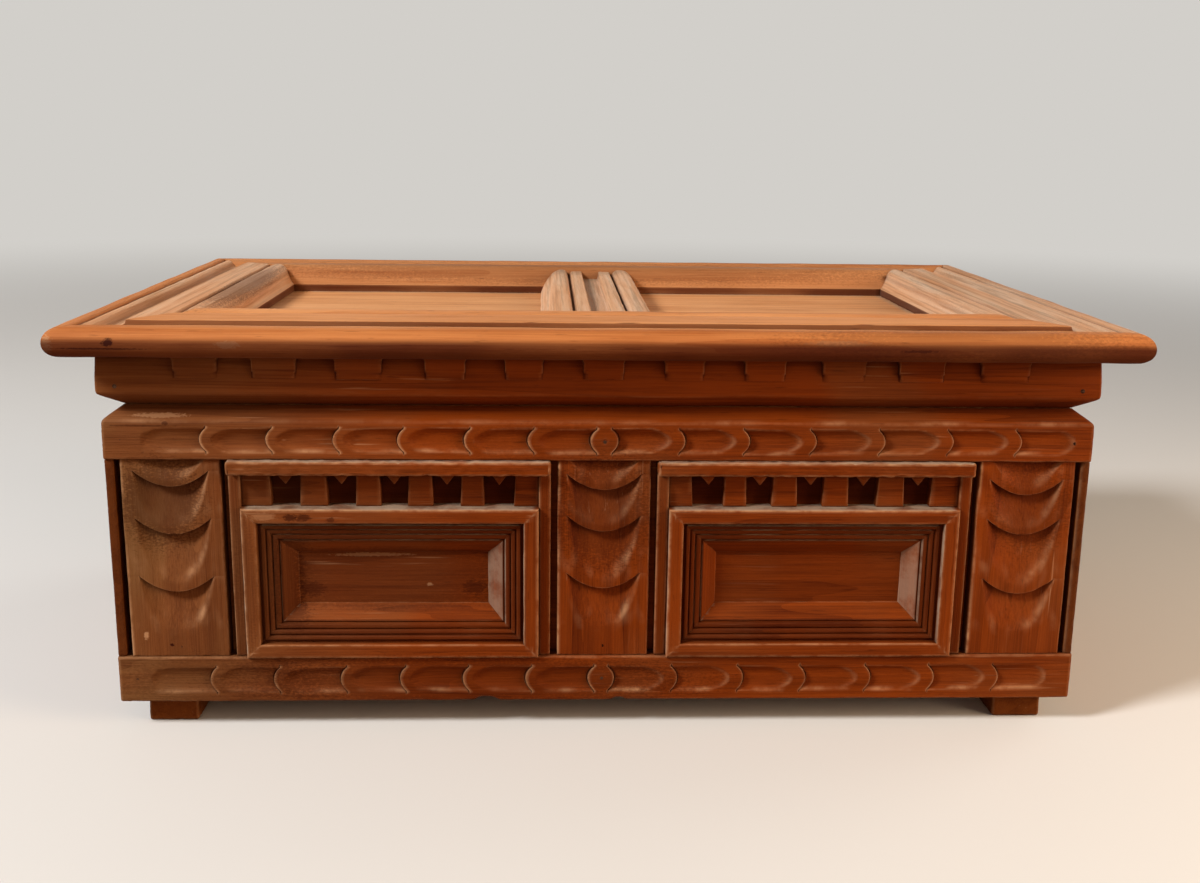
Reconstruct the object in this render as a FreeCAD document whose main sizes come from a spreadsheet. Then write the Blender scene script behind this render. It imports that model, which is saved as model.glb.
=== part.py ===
"""A carved pine document box: a nailed case with an applied, carved front and a hinged, moulded lid.

Millimetres. X runs along the front, Y from front to back, Z up; the origin is on the floor under the
middle of the lid. Every size is a cell of the sheet, and the pieces follow the cells.
"""
import FreeCAD, Part
import Sketcher
import os
import re

# Driving sizes, one cell of the sheet each
SIZES = {
    # Case
    "case_width": 428.0,
    "case_depth": 259.0,
    "board_thickness": 9.0,
    "end_thickness": 14.0,
    "bottom_thickness": 8.0,
    "tongue_width": 3.8,
    "tongue_set_back": 1.5,
    "foot_height": 12.6,
    "foot_width": 22.0,
    "foot_depth": 24.0,
    "foot_side_inset": 10.0,
    "foot_front_inset": 8.0,
    # Front rails and their row of scoops
    "rail_thickness": 9.0,
    "bottom_rail_height": 21.0,
    "top_rail_height": 22.6,
    "rail_bevel_height": 5.7,
    "rail_top_flat": 1.0,
    "scoop_width": 10.5,
    "scoop_length": 25.5,
    "scoop_depth": 1.9,
    "scoop_sag": 2.9,
    "scoop_pitch": 28.6,
    "boss_radius": 6.1,
    # Pilasters and their scales
    "pilaster_width": 42.5,
    "middle_pilaster_width": 40.5,
    "pilaster_thickness": 7.5,
    "corner_groove": 2.6,
    "panel_gap": 3.0,
    "scale_width": 32.6,
    "scale_sag": 7.2,
    "scale_depth": 3.2,
    # False drawer fronts
    "cap_height": 6.3,
    "cap_proud": 3.0,
    "post_width": 5.2,
    "frame_height": 68.6,
    "frame_moulding_width": 22.5,
    "frame_moulding_height": 11.0,
    "tooth_height": 15.1,
    "tooth_strip_thickness": 5.5,
    "tooth_block_width": 11.0,
    "tooth_band_height": 1.4,
    "tooth_point_width": 6.0,
    "tooth_point_height": 4.0,
    # Lid
    "lid_overhang": 16.0,
    "lid_gap": 0.4,
    "lid_board_thickness": 9.0,
    "skirt_height": 23.0,
    "skirt_thickness": 17.0,
    "skirt_proud": 1.0,
    "skirt_bevel_height": 5.5,
    "skirt_rest_width": 8.0,
    "dentil_width": 18.7,
    "dentil_pitch": 34.5,
    "dentil_height": 10.4,
    "dentil_depth": 2.2,
    "moulding_width": 60.4,
    "moulding_height": 14.2,
    "muntin_width": 48.0,
    "muntin_height": 13.8,
    # Butt hinges on the back
    "hinge_width": 40.0,
    "hinge_spacing": 250.0,
    "leaf_margin": 6.0,
    "leaf_thickness": 1.2,
    "barrel_radius": 2.4,
    "pin_radius": 1.1,
    "pin_clearance": 0.05,
    "hinge_clearance": 0.35,
    "screw_radius": 1.3,
    "screw_head_radius": 2.5,
    "screw_point_cover": 1.0,
    # Nails
    "nail_radius": 0.9,
    "nail_length": 26.0,
    "brad_radius": 0.7,
    "brad_length": 15.0,
    "brad_edge": 4.5,
    # How far a cutter runs past the wood it cuts
    "overrun": 1.0,
}

# Places that follow from the driving sizes
PLACES = {
    "front_y": "-case_depth / 2",
    "back_y": "case_depth / 2",
    "side_x": "case_width / 2",
    "ground_y": "front_y + rail_thickness",
    "front_inside_y": "ground_y + board_thickness",
    "back_inside_y": "back_y - board_thickness",
    "inside_width": "case_width - 2 * end_thickness",
    "inside_depth": "back_inside_y - front_inside_y",
    "field_z": "foot_height + bottom_rail_height",
    "field_height": "frame_height + tooth_height + cap_height",
    "rail_z": "field_z + field_height",
    "case_top": "rail_z + top_rail_height",
    "case_height": "case_top - foot_height",
    "skirt_z": "case_top + lid_gap",
    "slab_z": "skirt_z + skirt_height",
    "lid_width": "case_width + 2 * lid_overhang",
    "lid_depth": "case_depth + 2 * lid_overhang",
    "rail_bevel_depth": "rail_thickness - rail_top_flat",
    "rail_face_z": "rail_z + (top_rail_height - rail_bevel_height) / 2",
    "low_rail_face_z": "foot_height + bottom_rail_height / 2",
    "skirt_bevel_depth": "skirt_thickness - skirt_rest_width",
    "skirt_x": "side_x + skirt_proud",
    "skirt_front_y": "front_y - skirt_proud",
    "skirt_run": "back_y - skirt_front_y - 2 * skirt_thickness",
    "pilaster_face_y": "ground_y - pilaster_thickness",
    "pilaster_x": "side_x - tongue_width - corner_groove - pilaster_width / 2",
    "panel_edge": "middle_pilaster_width / 2 + panel_gap",
    "panel_width": "pilaster_x - pilaster_width / 2 - panel_gap - panel_edge",
    "panel_x": "panel_edge + panel_width / 2",
    "frame_width": "panel_width - 2 * post_width",
    "frame_z": "field_z + frame_height / 2",
    "tooth_z": "field_z + frame_height",
    "cap_z": "rail_z - cap_height",
    "post_height": "cap_z - field_z",
    "leaf_height": "skirt_height - leaf_margin",
    "screw_length": "board_thickness - screw_point_cover",
    "hinge_y": "back_y + hinge_clearance + barrel_radius",
    "hinge_z": "case_top + lid_gap / 2",
    "knuckle_width": "(hinge_width - 2 * hinge_clearance) / 3",
}

# Outlines in shares of a moulding's width and height; a step of four numbers is an arc's middle and end
LID_MOULDING_SHARES = [
    (0.106, 0.0), (0.0, 0.45, 0.106, 0.90),
    (0.156, 0.90), (0.172, 0.79), (0.185, 0.85),
    (0.214, 0.895, 0.242, 0.85), (0.344, 0.775, 0.447, 0.887),
    (0.712, 0.955), (0.727, 0.86), (0.742, 0.92),
    (0.85, 1.0, 0.935, 0.83), (0.954, 0.52, 0.988, 0.31),
    (1.0, 0.28), (1.0, 0.0),
]
MUNTIN_SHARES = [
    (-0.475, 0.0), (-0.475, 0.3), (-0.405, 1.0, -0.275, 0.82),
    (-0.25, 0.68), (-0.225, 0.84), (-0.10, 0.86), (-0.085, 0.64),
    (0.085, 0.64), (0.10, 0.86), (0.225, 0.84), (0.25, 0.68),
    (0.275, 0.82), (0.405, 1.0, 0.475, 0.3), (0.475, 0.0),
]
FRAME_MOULDING_SHARES = [
    (0.0, 0.0), (0.0, 1.0), (0.28, 1.0), (0.28, 0.88), (0.41, 0.88), (0.41, 0.76),
    (0.54, 0.76), (0.54, 0.64), (0.68, 0.64), (0.68, 0.52), (1.0, 0.06), (1.0, 0.0),
]
# Where the scales hang on a pilaster, and where the last one fades out, in shares of its height
SCALE_DROP_SHARES = (-0.06, 0.145, 0.367, 0.665, 0.88)
# How far a bevel's cutter runs on past the two edges of the bevel
BEVEL_PAST_SHARE = 0.5
# Places of nails along a joint, and of screws along a hinge leaf
NAIL_SHARES = (0.15, 0.5, 0.85)
SCREW_SHARES = (-0.3, 0.3)

doc = FreeCAD.newDocument("CarvedBox")
sheet = doc.addObject("Spreadsheet::Sheet", "Sizes")
for row, (alias, number) in enumerate(SIZES.items(), start=1):
    sheet.set(f"A{row}", alias)
    sheet.set(f"B{row}", str(number))
    sheet.setAlias(f"B{row}", alias)
doc.recompute()

pieces = []


def bound(text):
    """Write a formula of size and place names as an expression on the sheet's cells."""
    def swap(match):
        name = match.group(0)
        if name in PLACES:
            return "(" + bound(PLACES[name]) + ")"
        return "Sizes." + name if name in SIZES else name
    return re.sub(r"[a-z_]+", swap, str(text))


def value(text):
    """The number that a formula gives with the sheet's present sizes."""
    return float(sheet.evalExpression(bound(text)))


def point(*formulas):
    return FreeCAD.Vector(*[value(formula) for formula in formulas])


def keep(piece):
    """List a finished sub-part for export under its label."""
    pieces.append(piece)
    return piece


def move(thing, place, rotation=None):
    """Bind an object's position to three formulas, with a fixed rotation."""
    if rotation:
        thing.Placement = FreeCAD.Placement(FreeCAD.Vector(), rotation)
    for axis, formula in zip("xyz", place):
        thing.setExpression(f"Placement.Base.{axis}", bound(formula))


def box(label, corner, size):
    block = doc.addObject("Part::Box", label)
    for side, formula in zip(("Length", "Width", "Height"), size):
        block.setExpression(side, bound(formula))
    move(block, corner)
    return block


def rod(label, radius, length, place, rotation):
    cylinder = doc.addObject("Part::Cylinder", label)
    cylinder.setExpression("Radius", bound(radius))
    cylinder.setExpression("Height", bound(length))
    move(cylinder, place, rotation)
    return cylinder


def fuse(label, parts):
    whole = doc.addObject("Part::MultiFuse", label)
    whole.Shapes = parts
    whole.Refine = True
    return whole


def cut(label, base, *tools):
    """Cut one tool after another out of a blank; the last cut carries the label."""
    for number, tool in enumerate(tools, start=1):
        name = label if number == len(tools) else f"{label}_stage_{number}"
        result = doc.addObject("Part::Cut", name)
        result.Base = base
        result.Tool = tool
        base = result
    return base


def shaped(label, shape):
    """A group of like solids, or a carver's cutter, worked out from the sheet."""
    feature = doc.addObject("Part::Feature", label)
    feature.Shape = shape
    return feature


def pin_point(sketch, geometry, vertex, x, y):
    """Hold one point of a sketch at two formulas from its origin."""
    for kind, formula in (("DistanceX", x), ("DistanceY", y)):
        index = sketch.addConstraint(
            Sketcher.Constraint(kind, -1, 1, geometry, vertex, value(formula)))
        sketch.setExpression(f"Constraints[{index}]", bound(formula))


def draw(sketch, steps):
    """Draw a closed outline of lines and three-point arcs, each point held by formulas."""
    ends = [step[-2:] for step in steps]
    flat = "0"
    first = None
    for number, step in enumerate(steps):
        start = ends[number - 1]
        a = point(*start, flat)
        b = point(*ends[number], flat)
        if len(step) == 2:
            edge = sketch.addGeometry(Part.LineSegment(a, b))
            head, tail = 1, 2
        else:
            curve = Part.Arc(a, point(*step[:2], flat), b)
            edge = sketch.addGeometry(curve)
            head, tail = sorted((1, 2), key=lambda vertex: sketch.getPoint(edge, vertex).distanceToPoint(a))
            guide = sketch.addGeometry(Part.Point(point(*step[:2], flat)), True)
            pin_point(sketch, guide, 1, *step[:2])
            sketch.addConstraint(Sketcher.Constraint("PointOnObject", guide, 1, edge))
        pin_point(sketch, edge, tail, *ends[number])
        if first is None:
            first = (edge, head)
        else:
            sketch.addConstraint(Sketcher.Constraint("Coincident", last[0], last[1], edge, head))
        last = (edge, tail)
    sketch.addConstraint(Sketcher.Constraint("Coincident", last[0], last[1], *first))


def sketch_on(body, plane, label, outlines):
    sketch = body.newObject("Sketcher::SketchObject", label)
    support = next(item for item in body.Origin.OriginFeatures if item.Role == plane)
    sketch.AttachmentSupport = [(support, "")]
    sketch.MapMode = "FlatFace"
    for steps in outlines:
        draw(sketch, steps)
    return sketch


def prism(label, plane, steps, length):
    """A body padded evenly both ways from an outline on one of its own planes."""
    body = doc.addObject("PartDesign::Body", label)
    pad = body.newObject("PartDesign::Pad", f"{label}_pad")
    pad.Profile = sketch_on(body, plane, f"{label}_outline", [steps])
    pad.SideType = "Symmetric"
    pad.setExpression("Length", bound(length))
    body.Tip = pad
    return body


def scaled(shares, width, height):
    """An outline of shares as formulas of the moulding's own width and height."""
    sides = (width, height)
    return [tuple(f"{share} * {sides[i % 2]}" for i, share in enumerate(step)) for step in shares]


def mitred_moulding(label, shares, section, length, across, turn):
    """One side of a mitred frame, drawn lying flat on its front edge, then turned to its side."""
    width, height = section
    steps = []
    for step in scaled(shares, width, height):
        steps.append(tuple(f"{f} - {across} / 2" if i % 2 == 0 else f for i, f in enumerate(step)))
    body = prism(label, "YZ_Plane", steps, length)
    outer = f"-{across} / 2"
    inner = f"{outer} + {width}"
    past = f"{inner} + overrun"
    corners = []
    for side in ("-", ""):
        corner = f"{side}({length} / 2)"
        shoulder = f"{side}({length} / 2 - {width} - overrun)"
        corners.append([(corner, outer), (corner, past), (shoulder, past)])
    pocket = body.newObject("PartDesign::Pocket", f"{label}_mitres")
    pocket.Profile = sketch_on(body, "XY_Plane", f"{label}_mitre_outline", corners)
    pocket.Type = "ThroughAll"
    pocket.SideType = "Symmetric"
    body.Tip = pocket
    return body, FreeCAD.Rotation(FreeCAD.Vector(0, 0, 1), turn)


def arc_radius(chord, sag):
    return (chord ** 2 / 4 + sag ** 2) / (2 * sag)


def scoop(width, length, depth, sag):
    """A gouge's cut in a flat face: pared along +X from a stop cut whose crown is at the origin."""
    sweep = arc_radius(width, depth)
    stop_radius = arc_radius(width, sag)
    run = length + sag
    start = FreeCAD.Vector(-sag, 0, sweep - depth)
    slope = FreeCAD.Vector(run, 0, depth)
    pared = Part.makeCylinder(sweep, slope.Length, start, slope)
    centre = FreeCAD.Vector(-stop_radius, 0, -2 * depth)
    stop = Part.makeCylinder(stop_radius, 4 * depth, centre, FreeCAD.Vector(0, 0, 1))
    return pared.cut(stop)


def facing(direction):
    """The turn that stands a cutter against the front, running along a direction of the front."""
    turns = {"right": 0, "down": -90, "left": 180}
    spin = FreeCAD.Rotation(FreeCAD.Vector(0, 0, 1), turns[direction])
    return FreeCAD.Rotation(FreeCAD.Vector(1, 0, 0), 90) * spin


def placed(shape, direction, place):
    copy = shape.copy()
    copy.Placement = FreeCAD.Placement(place, facing(direction))
    return copy


def bevel_cutter(label, edge_x, edge_z, depth, height, length):
    """A wedge that bevels the edge of a side wall from edge_x, edge_z inwards by depth and height."""
    past = BEVEL_PAST_SHARE
    outer = (f"{edge_x} - {past} * ({depth})", f"{edge_z} - {1 + past} * ({height})")
    inner = (f"{edge_x} + {1 + past} * ({depth})", f"{edge_z} + {past} * ({height})")
    return prism(label, "XZ_Plane", [outer, inner, (outer[0], inner[1])], length)


# Rows of scoops for the two rails, running out both ways from a centre boss
rail_scoop = scoop(*[value(name) for name in
                     ("scoop_width", "scoop_length", "scoop_depth", "scoop_sag")])


def scoop_row(label, middle_z):
    count = int((value("side_x") - value("boss_radius")) // value("scoop_pitch"))
    cuts = []
    for number in range(count):
        reach = value("boss_radius") + number * value("scoop_pitch")
        for side, direction in ((-1, "left"), (1, "right")):
            place = FreeCAD.Vector(side * reach, value("front_y"), value(middle_z))
            cuts.append(placed(rail_scoop, direction, place))
    return shaped(label, Part.makeCompound(cuts))


# Bevels along the top edges of the case's ends and the lower edges of the lid's sides
case_bevels = []
skirt_bevels = []
for side, sign in (("left", ""), ("right", "-")):
    depth = f"{sign}rail_bevel_depth"
    case_bevels.append(bevel_cutter(f"{side}_case_bevel", f"-({sign}side_x)", "case_top",
                                    depth, "rail_bevel_height", "lid_depth"))
    depth = f"{sign}skirt_bevel_depth"
    skirt_bevels.append(bevel_cutter(f"{side}_skirt_bevel", f"-({sign}skirt_x)", "skirt_z",
                                     depth, "-skirt_bevel_height", "lid_depth"))

# Carcass: the front board sits between the tongues of the end boards, the back board covers their backs
blank = box("front_board_blank", ("tongue_width - side_x", "ground_y", "foot_height"),
            ("case_width - 2 * tongue_width", "board_thickness", "case_height"))
keep(cut("front_board", blank, *case_bevels))
blank = box("back_board_blank", ("-side_x", "back_inside_y", "foot_height"),
            ("case_width", "board_thickness", "case_height"))
keep(cut("back_board", blank, *case_bevels))
for side, corner, tongue, bevel in (
        ("left", "-side_x", "-side_x", case_bevels[0]),
        ("right", "side_x - end_thickness", "side_x - tongue_width", case_bevels[1])):
    wall = box(f"{side}_end_wall", (corner, "front_inside_y", "foot_height"),
               ("end_thickness", "inside_depth", "case_height"))
    lip = box(f"{side}_end_lip", (tongue, "ground_y", "foot_height"),
              ("tongue_width", "board_thickness", "case_height"))
    nose = box(f"{side}_end_nose", (tongue, "front_y + tongue_set_back", "field_z"),
               ("tongue_width", "rail_thickness - tongue_set_back", "field_height"))
    keep(cut(f"{side}_end_board", fuse(f"{side}_end_blank", [wall, lip, nose]), bevel))
keep(box("bottom_board", ("-inside_width / 2", "front_inside_y", "foot_height"),
         ("inside_width", "inside_depth", "bottom_thickness")))
for end, y in (("front", "front_y + foot_front_inset"), ("back", "back_y - foot_front_inset - foot_depth")):
    for side, x in (("left", "foot_side_inset - side_x"), ("right", "side_x - foot_side_inset - foot_width")):
        keep(box(f"{end}_{side}_foot", (x, y, "0"), ("foot_width", "foot_depth", "foot_height")))

# Front rails
blank = prism("top_rail_blank", "YZ_Plane",
              [("front_y", "rail_z"), ("ground_y", "rail_z"), ("ground_y", "case_top"),
               ("front_y + rail_bevel_depth", "case_top"), ("front_y", "case_top - rail_bevel_height")],
              "case_width")
row = scoop_row("top_rail_scoops", "rail_face_z")
keep(cut("top_rail", blank, *case_bevels, row))
blank = box("bottom_rail_blank", ("-side_x", "front_y", "foot_height"),
            ("case_width", "rail_thickness", "bottom_rail_height"))
row = scoop_row("bottom_rail_scoops", "low_rail_face_z")
keep(cut("bottom_rail", blank, row))


def scales(label, x):
    """The hanging scales carved down a pilaster."""
    cuts = []
    for drop, fade in zip(SCALE_DROP_SHARES, SCALE_DROP_SHARES[1:]):
        length = value(f"({fade} - {drop}) * field_height")
        shape = scoop(value("scale_width"), length, value("scale_depth"), value("scale_sag"))
        place = point(x, "pilaster_face_y", f"rail_z - {drop} * field_height")
        cuts.append(placed(shape, "down", place))
    return shaped(label, Part.makeCompound(cuts))


for name, x, width in (("left", "-pilaster_x", "pilaster_width"),
                       ("middle", "0", "middle_pilaster_width"),
                       ("right", "pilaster_x", "pilaster_width")):
    blank = box(f"{name}_pilaster_blank", (f"{x} - {width} / 2", "pilaster_face_y", "field_z"),
                (width, "pilaster_thickness", "field_height"))
    keep(cut(f"{name}_pilaster", blank, scales(f"{name}_pilaster_scales", x)))


def tooth_strip(label, x):
    """A strip under the cap with square blocks and, between them, notches that leave a hanging point."""
    strip = box(f"{label}_blank", (f"{x} - frame_width / 2", "ground_y - tooth_strip_thickness", "tooth_z"),
                ("frame_width", "tooth_strip_thickness", "cap_z - tooth_z"))
    width, block = value("frame_width"), value("tooth_block_width")
    gaps = int(width // (2 * block))
    gap = (width - (gaps + 1) * block) / gaps
    low = value("tooth_z - overrun")
    high = value("cap_z - tooth_band_height")
    tip = high - value("tooth_point_height")
    half = value("tooth_point_width") / 2
    front = value("ground_y - tooth_strip_thickness - overrun")
    through = FreeCAD.Vector(0, value("tooth_strip_thickness + 2 * overrun"), 0)
    notches = []
    for number in range(gaps):
        left = value(x) - width / 2 + block + number * (block + gap)
        middle = left + gap / 2
        outline = [(left, low), (left, high), (middle - half, high), (middle, tip),
                   (middle + half, high), (left + gap, high), (left + gap, low), (left, low)]
        wire = Part.makePolygon([FreeCAD.Vector(px, front, pz) for px, pz in outline])
        notches.append(Part.Face(wire).extrude(through))
    return cut(label, strip, shaped(f"{label}_notches", Part.makeCompound(notches)))


# False drawer fronts between the pilasters
STAND_UP = FreeCAD.Rotation(FreeCAD.Vector(1, 0, 0), 90)
for name, sign in (("left", "-"), ("right", "")):
    x = f"{sign}panel_x"
    label = f"{name}_panel"
    keep(box(f"{label}_cap", (f"{x} - panel_width / 2", "front_y - cap_proud", "cap_z"),
             ("panel_width", "rail_thickness + cap_proud", "cap_height")))
    keep(tooth_strip(f"{label}_dentils", x))
    edges = [f"{x} - panel_width / 2", f"{x} + panel_width / 2 - post_width"]
    roles = ("outer", "inner") if name == "left" else ("inner", "outer")
    for role, edge in zip(roles, edges):
        keep(box(f"{label}_{role}_post", (edge, "pilaster_face_y", "field_z"),
                 ("post_width", "pilaster_thickness", "post_height")))
    sides = (("bottom", "frame_width", "frame_height", 0), (roles[1], "frame_height", "frame_width", 90),
             ("top", "frame_width", "frame_height", 180), (roles[0], "frame_height", "frame_width", 270))
    for role, length, across, turn in sides:
        side, spin = mitred_moulding(f"{label}_frame_{role}", FRAME_MOULDING_SHARES,
                                     ("frame_moulding_width", "frame_moulding_height"), length, across, turn)
        move(side, (x, "ground_y", "frame_z"), STAND_UP * spin)
        keep(side)


def dentil_gaps(label, run):
    """Sloping cuts that leave a row of dentils standing along the top of a skirt at Y = 0, facing -Y."""
    pitch, width = value("dentil_pitch"), value("dentil_width")
    count = int((value(run) - width) // pitch) + 1
    top = value("slab_z + overrun")
    foot = value("slab_z - dentil_height")
    deep = value("dentil_depth * (dentil_height + overrun) / dentil_height")
    cuts = []
    for number in range(count + 1):
        left = (number - count / 2 - 1 / 2) * pitch + width / 2
        wedge = Part.makePolygon([FreeCAD.Vector(left, 0, foot), FreeCAD.Vector(left, deep, top),
                                  FreeCAD.Vector(left, 0, top), FreeCAD.Vector(left, 0, foot)])
        cuts.append(Part.Face(wedge).extrude(FreeCAD.Vector(pitch - width, 0, 0)))
    return shaped(label, Part.makeCompound(cuts))


# Lid: a tray of four skirts round a board
steps = [("skirt_front_y", "slab_z"), ("skirt_front_y + skirt_thickness", "slab_z"),
         ("skirt_front_y + skirt_thickness", "skirt_z"), ("skirt_front_y + skirt_bevel_depth", "skirt_z"),
         ("skirt_front_y", "skirt_z + skirt_bevel_height")]
blank = prism("front_skirt_blank", "YZ_Plane", steps, "2 * skirt_x")
gaps = dentil_gaps("front_skirt_gaps", "2 * skirt_x - 2 * skirt_thickness")
move(gaps, ("0", "skirt_front_y", "0"))
keep(cut("front_skirt", blank, *skirt_bevels, gaps))
blank = box("back_skirt_blank", ("-skirt_x", "back_y - skirt_thickness", "skirt_z"),
            ("2 * skirt_x", "skirt_thickness", "skirt_height"))
keep(cut("back_skirt", blank, *skirt_bevels))
for side, corner, face, turn, bevel in (
        ("left", "-skirt_x", "-skirt_x", -90, skirt_bevels[0]),
        ("right", "skirt_x - skirt_thickness", "skirt_x", 90, skirt_bevels[1])):
    blank = box(f"{side}_skirt_blank", (corner, "skirt_front_y + skirt_thickness", "skirt_z"),
                ("skirt_thickness", "skirt_run", "skirt_height"))
    gaps = dentil_gaps(f"{side}_skirt_gaps", "skirt_run")
    move(gaps, (face, "-skirt_proud / 2", "0"), FreeCAD.Rotation(FreeCAD.Vector(0, 0, 1), turn))
    keep(cut(f"{side}_skirt", blank, bevel, gaps))
keep(box("lid_board", ("skirt_thickness - skirt_x", "skirt_front_y + skirt_thickness",
                       "slab_z - lid_board_thickness"),
         ("2 * skirt_x - 2 * skirt_thickness", "skirt_run", "lid_board_thickness")))

# Lid: mitred mouldings round the edge, and a muntin coped to the front and back ones
sides = (("front", "lid_width", "lid_depth", 0), ("right", "lid_depth", "lid_width", 90),
         ("back", "lid_width", "lid_depth", 180), ("left", "lid_depth", "lid_width", 270))
for role, length, across, turn in sides:
    side, spin = mitred_moulding(f"{role}_moulding", LID_MOULDING_SHARES,
                                 ("moulding_width", "moulding_height"), length, across, turn)
    move(side, ("0", "0", "slab_z"), spin)
    keep(side)
blank = prism("muntin_blank", "XZ_Plane", scaled(MUNTIN_SHARES, "muntin_width", "muntin_height"),
              "lid_depth - 2 * moulding_width + moulding_height")
move(blank, ("0", "0", "slab_z"))
front_and_back = [piece for piece in pieces if piece.Label in ("front_moulding", "back_moulding")]
keep(cut("muntin", blank, *front_and_back))

# Butt hinges: two case knuckles outside one lid knuckle, on a pin along X
ALONG_X = FreeCAD.Rotation(FreeCAD.Vector(0, 1, 0), 90)
OUT_OF_BACK = FreeCAD.Rotation(FreeCAD.Vector(1, 0, 0), -90)
KNUCKLES = {"case": ("-hinge_width / 2", "hinge_width / 2 - knuckle_width"), "lid": ("-knuckle_width / 2",)}
LEAF_MIDDLE = "(leaf_height + barrel_radius + hinge_clearance) / 2"


def hinge_leaf(label, owner, x):
    """One leaf: a plate screwed to the back, with webs up to its knuckles, bored for the pin."""
    up = owner == "lid"
    edge = "barrel_radius + hinge_clearance"
    plate_z = f"hinge_z + {edge}" if up else "hinge_z - leaf_height"
    web_z = "hinge_z" if up else f"hinge_z - {edge} - leaf_thickness"
    parts = [box(f"{label}_plate", (f"{x} - hinge_width / 2", "back_y", plate_z),
                 ("hinge_width", "leaf_thickness", f"leaf_height - {edge}"))]
    for number, offset in enumerate(KNUCKLES[owner], start=1):
        corner = f"{x} + {offset}"
        parts.append(box(f"{label}_web_{number}", (corner, "back_y", web_z),
                         ("knuckle_width", "leaf_thickness", f"{edge} + leaf_thickness")))
        parts.append(rod(f"{label}_knuckle_{number}", "barrel_radius", "knuckle_width",
                         (corner, "hinge_y", "hinge_z"), ALONG_X))
    holes = [rod(f"{label}_bore", "pin_radius + pin_clearance", "hinge_width + 2 * overrun",
                 (f"{x} - hinge_width / 2 - overrun", "hinge_y", "hinge_z"), ALONG_X)]
    for number, share in enumerate(SCREW_SHARES, start=1):
        sink = doc.addObject("Part::Cone", f"{label}_sink_{number}")
        sink.setExpression("Radius1", bound("screw_radius + pin_clearance"))
        sink.setExpression("Radius2", bound("screw_head_radius + pin_clearance"))
        sink.setExpression("Height", bound("leaf_thickness"))
        middle = f"hinge_z + {LEAF_MIDDLE}" if up else f"hinge_z - {LEAF_MIDDLE}"
        move(sink, (f"{x} + {share} * hinge_width", "back_y", middle), OUT_OF_BACK)
        holes.append(sink)
    return cut(label, fuse(f"{label}_blank", parts), *holes)


def wood_screw(x, z):
    """A countersunk screw through a leaf into the back, at X and Z."""
    depth = value("leaf_thickness")
    out = FreeCAD.Vector(0, 1, 0)
    seat = FreeCAD.Vector(x, value("back_y"), z)
    head = Part.makeCone(value("screw_radius"), value("screw_head_radius"), depth, seat, out)
    shank = Part.makeCylinder(value("screw_radius"), value("screw_length"), seat, -out)
    return head.fuse(shank).removeSplitter()


screws = {"case": [], "lid": []}
for side, x in (("left", "-hinge_spacing / 2"), ("right", "hinge_spacing / 2")):
    for owner in ("case", "lid"):
        keep(hinge_leaf(f"{side}_hinge_{owner}_leaf", owner, x))
        way = "+" if owner == "lid" else "-"
        for share in SCREW_SHARES:
            screws[owner].append(wood_screw(value(f"{x} + {share} * hinge_width"),
                                            value(f"hinge_z {way} {LEAF_MIDDLE}")))
    keep(rod(f"{side}_hinge_pin", "pin_radius", "hinge_width",
             (f"{x} - hinge_width / 2", "hinge_y", "hinge_z"), ALONG_X))
for owner, group in screws.items():
    keep(shaped(f"{owner}_hinge_screws", Part.makeCompound(group)))


def nail(radius, length, head, direction):
    """A nail driven from its head along a direction."""
    return Part.makeCylinder(value(radius), value(length), head, FreeCAD.Vector(*direction))


# Brads through the rails' bosses and ends, and through the foot of each pilaster
brads = []
for z in ("low_rail_face_z", "rail_face_z"):
    for x in ("0", "tongue_width + brad_edge - side_x", "side_x - tongue_width - brad_edge"):
        brads.append(nail("brad_radius", "brad_length", point(x, "front_y", z), (0, 1, 0)))
for x in ("-pilaster_x", "0", "pilaster_x"):
    head = point(x, "pilaster_face_y", "field_z + brad_edge")
    brads.append(nail("brad_radius", "brad_length", head, (0, 1, 0)))
keep(shaped("facing_brads", Part.makeCompound(brads)))

# Nails that hold the carcass and the lid's tray together at their corners
carcass = []
for sign in ("-", ""):
    wall = f"{sign}(side_x - end_thickness / 2)"
    outside = f"{sign}side_x"
    inwards = 1 if sign else -1
    for share in NAIL_SHARES:
        z = f"foot_height + {share} * case_height"
        carcass.append(nail("nail_radius", "nail_length", point(wall, "ground_y", z), (0, 1, 0)))
        carcass.append(nail("nail_radius", "nail_length", point(wall, "back_y", z), (0, -1, 0)))
        y = f"front_inside_y + {share} * inside_depth"
        head = point(outside, y, "foot_height + bottom_thickness / 2")
        carcass.append(nail("nail_radius", "nail_length", head, (inwards, 0, 0)))
keep(shaped("carcass_nails", Part.makeCompound(carcass)))
tray = []
for sign in ("-", ""):
    wall = f"{sign}(skirt_x - skirt_thickness / 2)"
    z = "(skirt_z + skirt_bevel_height + slab_z - dentil_height) / 2"
    tray.append(nail("nail_radius", "nail_length", point(wall, "skirt_front_y", z), (0, 1, 0)))
    tray.append(nail("nail_radius", "nail_length", point(wall, "back_y", z), (0, -1, 0)))
for share in NAIL_SHARES:
    x = f"({share} - 1 / 2) * 2 * skirt_x"
    z = "slab_z - lid_board_thickness / 2"
    tray.append(nail("nail_radius", "nail_length", point(x, "back_y", z), (0, -1, 0)))
keep(shaped("lid_nails", Part.makeCompound(tray)))

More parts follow.
